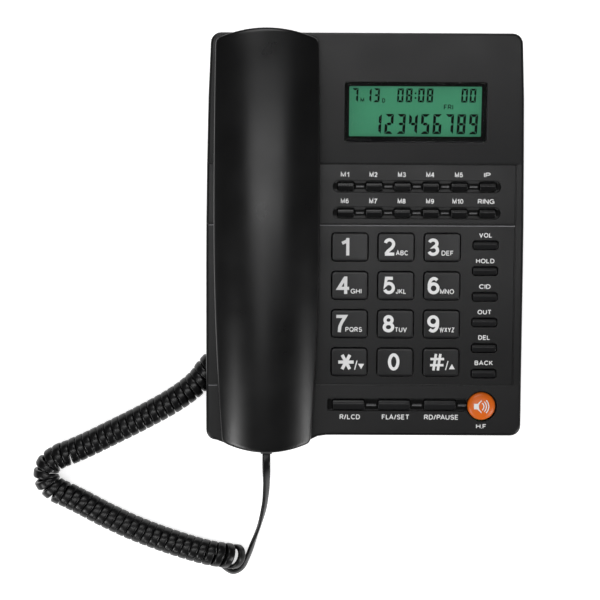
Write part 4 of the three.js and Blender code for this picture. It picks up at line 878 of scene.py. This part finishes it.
def small_cap(node_name, body, x, y, width, depth, material=KEY):
    cap = key_cap("cap_" + node_name, width - CAP_NARROWER, depth - CAP_SHALLOWER, SMALL_RADIUS,
                  roof_top(depth), SMALL_BEVEL, material, steps=4, rows=5)
    place(cap, on_face(x, y) @ Matrix.Translation((0, -CAP_FORWARD, 0)))
    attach(cap, body)
    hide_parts(node_name)


MEMORY_XS = [MEMORY_X + (c - 2.5) * MEMORY_PITCH_X for c in range(6)]
MEMORY_YS = [MEMORY_Y, MEMORY_Y - MEMORY_PITCH_Y]
FUNCTION_XS = [FUNCTION_X + k * DIAL_PITCH_X for k in (-1, 0, 1)]
for r, y in enumerate(MEMORY_YS):
    for c, x in enumerate(MEMORY_XS):
        number = r * len(MEMORY_XS) + c + 1
        small_cap(f"memory_button_{number}", f"memory_{number}", x, y, MEMORY_WIDTH, MEMORY_DEPTH, SHADED_KEY)
for r in range(6):
    y = SIDE_Y - SIDE_PITCH * r
    small_cap(f"side_button_{r + 1}", f"side_{r + 1}", SIDE_X, y, SIDE_WIDTH, SIDE_DEPTH)
for i, x in enumerate(FUNCTION_XS):
    small_cap(f"function_button_{i + 1}", f"function_{i + 1}", x, FUNCTION_Y, FUNCTION_WIDTH, FUNCTION_DEPTH)

# Slots: a black sheet on their floors and sides that paints their shade, and a lighter top on each runner
# bar that paints its highlight

SHADE_LINING = 0.12
PAD_THICKNESS = 0.06
WALL_DROP, WALL_LIFT = 0.06, 0.03
LEAST_PAD = 0.3
BAR_CORNER = 0.12


# The black sheet in each slot paints its shade, and the lighter bar tops paint the runners' highlight
def slot_lining(name, slot, y, holes, bars, bar_y, bar_width):
    """holes and bars are (from, to) spans along the slot; the buttons stand in the holes."""
    x0, x1, width, corner = slot
    middle = (x0 + x1) / 2
    parts = []
    edges = [x0 + SHADE_LINING] + [e for hole in holes for e in hole] + [x1 - SHADE_LINING]
    for low, high in zip(edges[::2], edges[1::2]):
        if high - low > LEAST_PAD:
            pad = shape_mesh([bar(low - middle, 0, high - middle, 0, width - corner)], PAINTED_SLOT_SHADE, PAD_THICKNESS)
            parts.append(place(pad, Matrix.Translation((0, 0, -SLOT_DEPTH + PAD_THICKNESS))))
    outer = rounded_outline(x1 - x0 - 0.04, width - 0.04, corner, 10, 6)
    inner = rounded_outline(x1 - x0 - 2 * SHADE_LINING, width - 2 * SHADE_LINING, corner - SHADE_LINING / 2, 10, 6)
    low, high = -SLOT_DEPTH + WALL_LIFT, -WALL_DROP
    rings = [[Vector((px, py, z)) for px, py in outline]
             for outline, z in ((inner, low), (inner, high), (outer, high), (outer, low), (inner, low))]
    parts.append(rings_object("wall", rings, PAINTED_SLOT_SHADE, smooth=False, caps=False))
    made = joined(name, parts)
    tops = []
    for low, high in bars:
        top = shape_mesh([rounded_outline(high - low, bar_width, BAR_CORNER, 3)], PAINTED_BAR_HIGHLIGHT, PAD_THICKNESS)
        spot = ((low + high) / 2 - middle, bar_y, -RUNNER_DROP + 0.04)
        tops.append(place(top, Matrix.Translation(spot)))
    for piece in (made, joined(name + "_bars", tops)):
        place(piece, on_face(middle, y))
        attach(piece, "base")


def spans(xs, width):
    """The holes of the buttons, and the runner bars between them."""
    holes = [(x - width / 2 - HOLE_RIM, x + width / 2 + HOLE_RIM) for x in xs]
    bars = [(a + width / 2 + RUNNER_GAP, b - width / 2 - RUNNER_GAP) for a, b in zip(xs, xs[1:])]
    return holes, bars


for number, y in enumerate(MEMORY_YS, 1):
    slot_lining(f"slot_lining_{number}", MEMORY_SLOT, y, *spans(MEMORY_XS, MEMORY_WIDTH), -0.15, 0.7)
holes, bars = spans(FUNCTION_XS, FUNCTION_WIDTH)
LAST_BAR = (50.6, 55.0)
slot_lining("slot_lining_3", FUNCTION_SLOT, FUNCTION_Y, holes, bars + [LAST_BAR], -0.35, 0.9)

# Hands-free button: a fine dome with the loudspeaker sign

DOME_X, DOME_Y = 63.1, -85.8
DOME_RADIUS, DOME_HEIGHT, DOME_POWER = 7.4, 2.4, 2.6
DOME_SIDES, DOME_STEPS = 48, 17
SIGN_THICKNESS, SIGN_LIFT = 0.12, 0.04
SIGN_X, SIGN_STROKE = -1.1, 0.55


def dome_height(x, y):
    share = min(1, math.hypot(x, y) / DOME_RADIUS)
    return DOME_HEIGHT * math.sqrt(max(0, 1 - share ** DOME_POWER))


def make_dome():
    radii = [DOME_RADIUS * math.cos(math.pi / 2 * i / DOME_STEPS) for i in range(DOME_STEPS)]
    profile = [(DOME_RADIUS, CAP_FOOT)] + [(radius, dome_height(radius, 0)) for radius in radii]
    return sharpen(round_object("cap_handsfree", profile, DOME_SIDES, ORANGE), 60)


def wave(radius, half, steps=10):
    """A sound wave of the sign: a curved stroke that opens to the right, over half degrees either way."""
    outer, inner = radius + SIGN_STROKE / 2, radius - SIGN_STROKE / 2
    there = arc(SIGN_X, 0, outer, outer, -half, half, steps)
    return there + arc(SIGN_X, 0, inner, inner, half, -half, steps)


dome_spot = on_face(DOME_X, DOME_Y)
dome = place(make_dome(), dome_spot)
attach(dome, "handsfree")
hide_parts("handsfree_button")
horn = [(-4.1, -1.5), (-2.2, -1.5), (-0.1, -3.6), (-0.1, 3.6), (-2.2, 1.5), (-4.1, 1.5)]
sign_parts = [laid(shape_mesh([outline], PRINT, SIGN_THICKNESS), dome_height)
              for outline in (horn, wave(2.3, 52), wave(3.6, 48), wave(4.9, 44))]
sign_mesh = joined("print_handsfree", sign_parts)
place(sign_mesh, dome_spot @ Matrix.Translation((0, 0, SIGN_LIFT)))
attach(sign_mesh, "handsfree")

# Words beside the buttons

WORD_WEIGHT, WORD_THICKNESS, WORD_LIFT = 0.47, 0.06, 0.02
MEMORY_WORD_CAP, MEMORY_WORD_UP = 2.55, 6.2
SIDE_WORD_CAP, SIDE_WORD_UP, SIDE_WORD_PITCH = 2.5, 5.2, 13.6
FUNCTION_WORD_CAP, FUNCTION_WORD_Y, FUNCTION_WORD_RIGHT = 2.7, -91.9, 0.8
MEMORY_WORDS = [["M1", "M2", "M3", "M4", "M5", "IP"], ["M6", "M7", "M8", "M9", "M10", "RING"]]
MEMORY_WORD_WIDTHS = {"M1": 4.4, "IP": 3.5, "RING": 8.8}
MEMORY_WORD_LEFT, MEMORY_WORD_LEFTS = 0.5, {"M10": 0.8, "RING": 0.9}
# Words with their widths
SIDE_WORDS = [("VOL", 6.9), ("HOLD", 9.8), ("CID", 6.1), ("OUT", 7.4), ("DEL", 6.3), ("BACK", 9.8)]
FUNCTION_WORDS = [("R/LCD", 10.9), ("FLA/SET", 14.7), ("RD/PAUSE", 18.4)]


def label(text, x, y, cap, width):
    made = lettering(text, cap, WORD_WEIGHT, PRINT, WORD_THICKNESS, width)
    return place(made, on_face(x, y) @ Matrix.Translation((0, 0, WORD_LIFT)))


labels = []
for y, words in zip(MEMORY_YS, MEMORY_WORDS):
    for x, text in zip(MEMORY_XS, words):
        left = MEMORY_WORD_LEFTS.get(text, MEMORY_WORD_LEFT)
        width = MEMORY_WORD_WIDTHS.get(text)
        labels.append(label(text, x - left, y + MEMORY_WORD_UP, MEMORY_WORD_CAP, width))
for r, (text, width) in enumerate(SIDE_WORDS):
    labels.append(label(text, SIDE_X, SIDE_Y - SIDE_WORD_PITCH * r + SIDE_WORD_UP, SIDE_WORD_CAP, width))
for x, (text, width) in zip(FUNCTION_XS, FUNCTION_WORDS):
    labels.append(label(text, x + FUNCTION_WORD_RIGHT, FUNCTION_WORD_Y, FUNCTION_WORD_CAP, width))
labels.append(label("H.F", 63.2, -96.7, 2.45, 5.5))
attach(joined("printed_words", labels), "base")

# Display: a green glass with its black edge, and its figures

PANEL_TOP = -(SKIN + 2 * CLEARANCE + WINDOW_THICKNESS)
GLASS_WIDTH, GLASS_DEPTH, GLASS_CORNER, GLASS_THICKNESS = 69.7, 26.3, 0.4, 0.1
GLASS_X, GLASS_Y = -0.75, 0.4
FIGURE_THICKNESS, FIGURE_LIFT, FIGURE_LEAN = 0.06, 0.14, 0.045
# The frame on which the figures' places are given, in pixels: its middle and its focal length
PICTURE_MIDDLE, PICTURE_FOCAL = 300, 1647
PANEL_HEIGHT = 36.6
LCD_SCALE = (CAMERA_PLACE[2] - PANEL_HEIGHT) / PICTURE_FOCAL
NUMBER_LEFT_PX, NUMBER_FOOT_PX, NUMBER_PITCH_PX = 371.5, 134.7, 12.05
NUMBER_WIDTH_PX, NUMBER_HEIGHT_PX, NUMBER_STROKE = 8.6, 20.0, 1.45
CLOCK_PX = [("7", 350.6), ("1", 363.8), ("3", 372.0), ("0", 395.8), ("8", 404.5), ("0", 416.6), ("8", 425.3),
            ("0", 459.8), ("0", 468.2)]
CLOCK_FOOT_PX, CLOCK_WIDTH, CLOCK_HEIGHT, CLOCK_STROKE = 103.7, 3.3, 7.3, 1.05
COLON_PX, COLON_SIZE = [(414.3, 94.9), (414.3, 99.4)], 0.84
# Each word of the display: its place in the picture frame, its cap height and its width
DISPLAY_WORDS = [("M", 361.3, 101.4, 2.1, 2.0), ("D", 382.6, 102.0, 2.4, 1.6),
                 ("FRI", 447.4, 108.2, 2.7, 4.9)]
DISPLAY_WORD_WEIGHT = 0.42

display_spot = on_face(DISPLAY_X, DISPLAY_Y)
glass = shape_mesh([rounded_outline(GLASS_WIDTH, GLASS_DEPTH, GLASS_CORNER, 4)], GREEN, GLASS_THICKNESS)
place(glass, display_spot @ Matrix.Translation((GLASS_X, GLASS_Y, PANEL_TOP + GLASS_THICKNESS / 2)))
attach(glass, "base")

SEGMENT_SETS = {
    "0": "abcdef", "1": "bc", "2": "abged", "3": "abgcd", "4": "fgbc", "5": "afgcd", "6": "afgedc",
    "7": "abc", "8": "abcdefg", "9": "abcdfg",
}


def seven_segment(digit, x, y, right, top, stroke):
    """Segments of one figure whose lower left corner is at x, y; it leans a little to the right."""
    gap = 0.07 * stroke + 0.05
    half = stroke / 2
    middle = top / 2
    foot = [(gap, 0), (right - gap, 0), (right - gap - stroke, stroke), (gap + stroke, stroke)]
    post = [(0, gap), (stroke, stroke + gap), (stroke, middle - half - gap), (half, middle - gap),
            (0, middle - gap)]
    inner = gap + stroke
    rail = [(inner, middle - half), (right - inner, middle - half), (right - gap - half, middle),
            (right - inner, middle + half), (inner, middle + half), (gap + half, middle)]
    mirrored = [(right - px, py) for px, py in post[::-1]]
    every = {"d": foot, "e": post, "g": rail, "c": mirrored}
    for upper, lower in (("a", "d"), ("f", "e"), ("b", "c")):
        every[upper] = [(px, top - py) for px, py in every[lower][::-1]]
    return [[(x + px + FIGURE_LEAN * py, y + py) for px, py in every[s]] for s in SEGMENT_SETS[digit]]


def lcd_point(px, py):
    """Place on the display panel under a point of the picture frame."""
    x = CAMERA_PLACE[0] + (px - PICTURE_MIDDLE) * LCD_SCALE - DISPLAY_X
    y = (CAMERA_PLACE[1] + (PICTURE_MIDDLE - py) * LCD_SCALE - DISPLAY_Y) / math.cos(slope_at(DISPLAY_Y))
    return x, y


def make_figures():
    outlines = []
    x, y = lcd_point(NUMBER_LEFT_PX, NUMBER_FOOT_PX)
    for i, digit in enumerate("123456789"):
        outlines += seven_segment(digit, x + i * NUMBER_PITCH_PX * LCD_SCALE, y, NUMBER_WIDTH_PX * LCD_SCALE,
                                  NUMBER_HEIGHT_PX * LCD_SCALE, NUMBER_STROKE)
    for digit, px in CLOCK_PX:
        x, y = lcd_point(px, CLOCK_FOOT_PX)
        outlines += seven_segment(digit, x, y, CLOCK_WIDTH, CLOCK_HEIGHT, CLOCK_STROKE)
    for px, py in COLON_PX:
        x, y = lcd_point(px, py)
        outlines.append(bar(x - COLON_SIZE / 2, y, x + COLON_SIZE / 2, y, COLON_SIZE))
    parts = [shape_mesh(outlines, SEGMENT, FIGURE_THICKNESS)]
    for text, px, py, cap, width in DISPLAY_WORDS:
        word = lettering(text, cap, DISPLAY_WORD_WEIGHT, SEGMENT, FIGURE_THICKNESS, width)
        parts.append(moved(word, *lcd_point(px, py)))
    return joined("display_figures", parts)


figures = make_figures()
place(figures, display_spot @ Matrix.Translation((0, 0, PANEL_TOP + FIGURE_LIFT)))
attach(figures, "base")

# Handset: the outer shell with soft ends

SHELL_BASE, SHELL_EDGE, SHELL_END_RADIUS = 0.15, 0.6, 2.4
SHELL_SAG_SHARE = 0.58
SHELL_ROWS, SHELL_COLUMNS = 72, 44
# The last share of the length over which the back rolls down, and by what share of its height
ROLL_SHARE, ROLL_DEPTH = 0.015, 0.1


def handset_half_width(y):
    end = HANDSET_REAR if y > HANDSET_WIDEST_Y else HANDSET_FRONT
    span = HALF_LENGTH - math.copysign(HANDSET_WIDEST_Y, y - HANDSET_WIDEST_Y)
    return HANDSET_MIDDLE + (end - HANDSET_MIDDLE) * ((y - HANDSET_WIDEST_Y) / span) ** 2


def handset_end(x, half_width, radius):
    """How far short of the full length the end lies at x."""
    sag = HANDSET_END_SAG * (x / HANDSET_MIDDLE) ** 2
    past = max(0, abs(x) - (half_width - radius))
    return sag + radius - math.sqrt(max(0, radius * radius - past * past))


def shell_section(x, half_width, height):
    """Height over the shell's lower edge: a shallow arc between side walls, with rounded edges."""
    sag = SHELL_SAG_SHARE * height
    radius = (half_width ** 2 + sag ** 2) / (2 * sag)
    past = max(0, abs(x) - (half_width - SHELL_EDGE))
    edge = SHELL_EDGE - math.sqrt(max(0, SHELL_EDGE ** 2 - past ** 2))
    return height - radius + math.sqrt(radius ** 2 - x * x) - edge


def shell_row(along):
    """Points across the back, at a share of the half length from the middle."""
    half_width = handset_half_width(along * HALF_LENGTH)
    height = HANDSET_EDGE_HEIGHT + HANDSET_ARCH * (1 - along * along)
    past = max(0, (abs(along) - (1 - ROLL_SHARE)) / ROLL_SHARE)
    soft = 1 - ROLL_DEPTH + ROLL_DEPTH * math.sqrt(max(0, 1 - past * past))
    row = []
    for j in range(SHELL_COLUMNS + 1):
        x = -math.cos(math.pi * j / SHELL_COLUMNS) * half_width
        y = along * (HALF_LENGTH - handset_end(x, half_width, SHELL_END_RADIUS))
        row.append(Vector((x, y, SHELL_BASE + shell_section(x, half_width, height) * soft)))
    return row


def outer_shell():
    """The back's skin, with a wall down to its flat foot along the edge."""
    rows, columns = SHELL_ROWS, SHELL_COLUMNS
    verts = [p for i in range(rows + 1) for p in shell_row(math.sin(math.pi / 2 * (2 * i / rows - 1)))]
    width = columns + 1
    faces = [(r * width + c, r * width + c + 1, (r + 1) * width + c + 1, (r + 1) * width + c)
             for r in range(rows) for c in range(columns)]
    edge = [*range(width), *(r * width + columns for r in range(1, rows + 1)),
            *(rows * width + c for c in range(columns - 1, -1, -1)),
            *(r * width for r in range(rows - 1, 0, -1))]
    foot = len(verts)
    verts += [Vector((verts[k].x, verts[k].y, SHELL_BASE)) for k in edge]
    count = len(edge)
    for k in range(count):
        after = (k + 1) % count
        faces.append((edge[k], foot + k, foot + after, edge[after]))
    faces.append(tuple(range(foot + count - 1, foot - 1, -1)))
    return make_object("handset_back", verts, faces, HANDSET)


def cut_box(made, low, high):
    """Takes a box out of a mesh."""
    tool_mesh = bpy.data.meshes.new("cutter")
    work = bmesh.new()
    bmesh.ops.create_cube(work, size=1)
    low, high = Vector(low) * MM, Vector(high) * MM
    for vertex in work.verts:
        vertex.co = (low + high) / 2 + vertex.co * (high - low)
    work.to_mesh(tool_mesh)
    work.free()
    tool = add("cutter", tool_mesh)
    cut = made.modifiers.new("cut", "BOOLEAN")
    cut.operation = "DIFFERENCE"
    cut.solver = "EXACT"
    cut.object = tool
    bpy.context.view_layer.update()
    result = bpy.data.meshes.new_from_object(made.evaluated_get(bpy.context.evaluated_depsgraph_get()))
    made.modifiers.remove(cut)
    made.data = result
    bpy.data.objects.remove(tool)
    return made


# The cord's opening in the front end, and room for the socket behind it
CORD_OPENING = ((-3.7, -121.5, -1), (3.7, -100, 7.1))
SOCKET_ROOM = ((-5.4, -108.7, -1), (5.4, -90, 9.2))

back = outer_shell()
cut_box(back, *CORD_OPENING)
cut_box(back, *SOCKET_ROOM)
sharpen(back, 40)
place(back, handset_matrix())
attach(back, "handset")
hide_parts("handset_outer_shell")

# Screws in the underside: a flat head with a cross recess, in each of the cover's counterbores

# Radius and height of each ring of a screw
SCREW_PROFILE = [(0.9, 8), (0.9, 2.95), (2.45, 2.95), (2.5, 2.85), (2.5, 2.35), (2.3, 2.15), (1.6, 2.06),
                 (0.8, 2.02)]
SCREW_SIDES = 28
CROSS_REACH, CROSS_HALF, CROSS_FROM, CROSS_TO = 1.45, 0.28, 1, 2.7

for number, (x, y) in enumerate(SCREW_PLACES, 1):
    screw = round_object(f"screw_{number}", SCREW_PROFILE, SCREW_SIDES, SCREW)
    for reach_x, reach_y in ((CROSS_REACH, CROSS_HALF), (CROSS_HALF, CROSS_REACH)):
        cut_box(screw, (-reach_x, -reach_y, CROSS_FROM), (reach_x, reach_y, CROSS_TO))
    sharpen(screw, 35)
    place(screw, Matrix.Translation((x, y, 0)))
    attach(screw, "base")
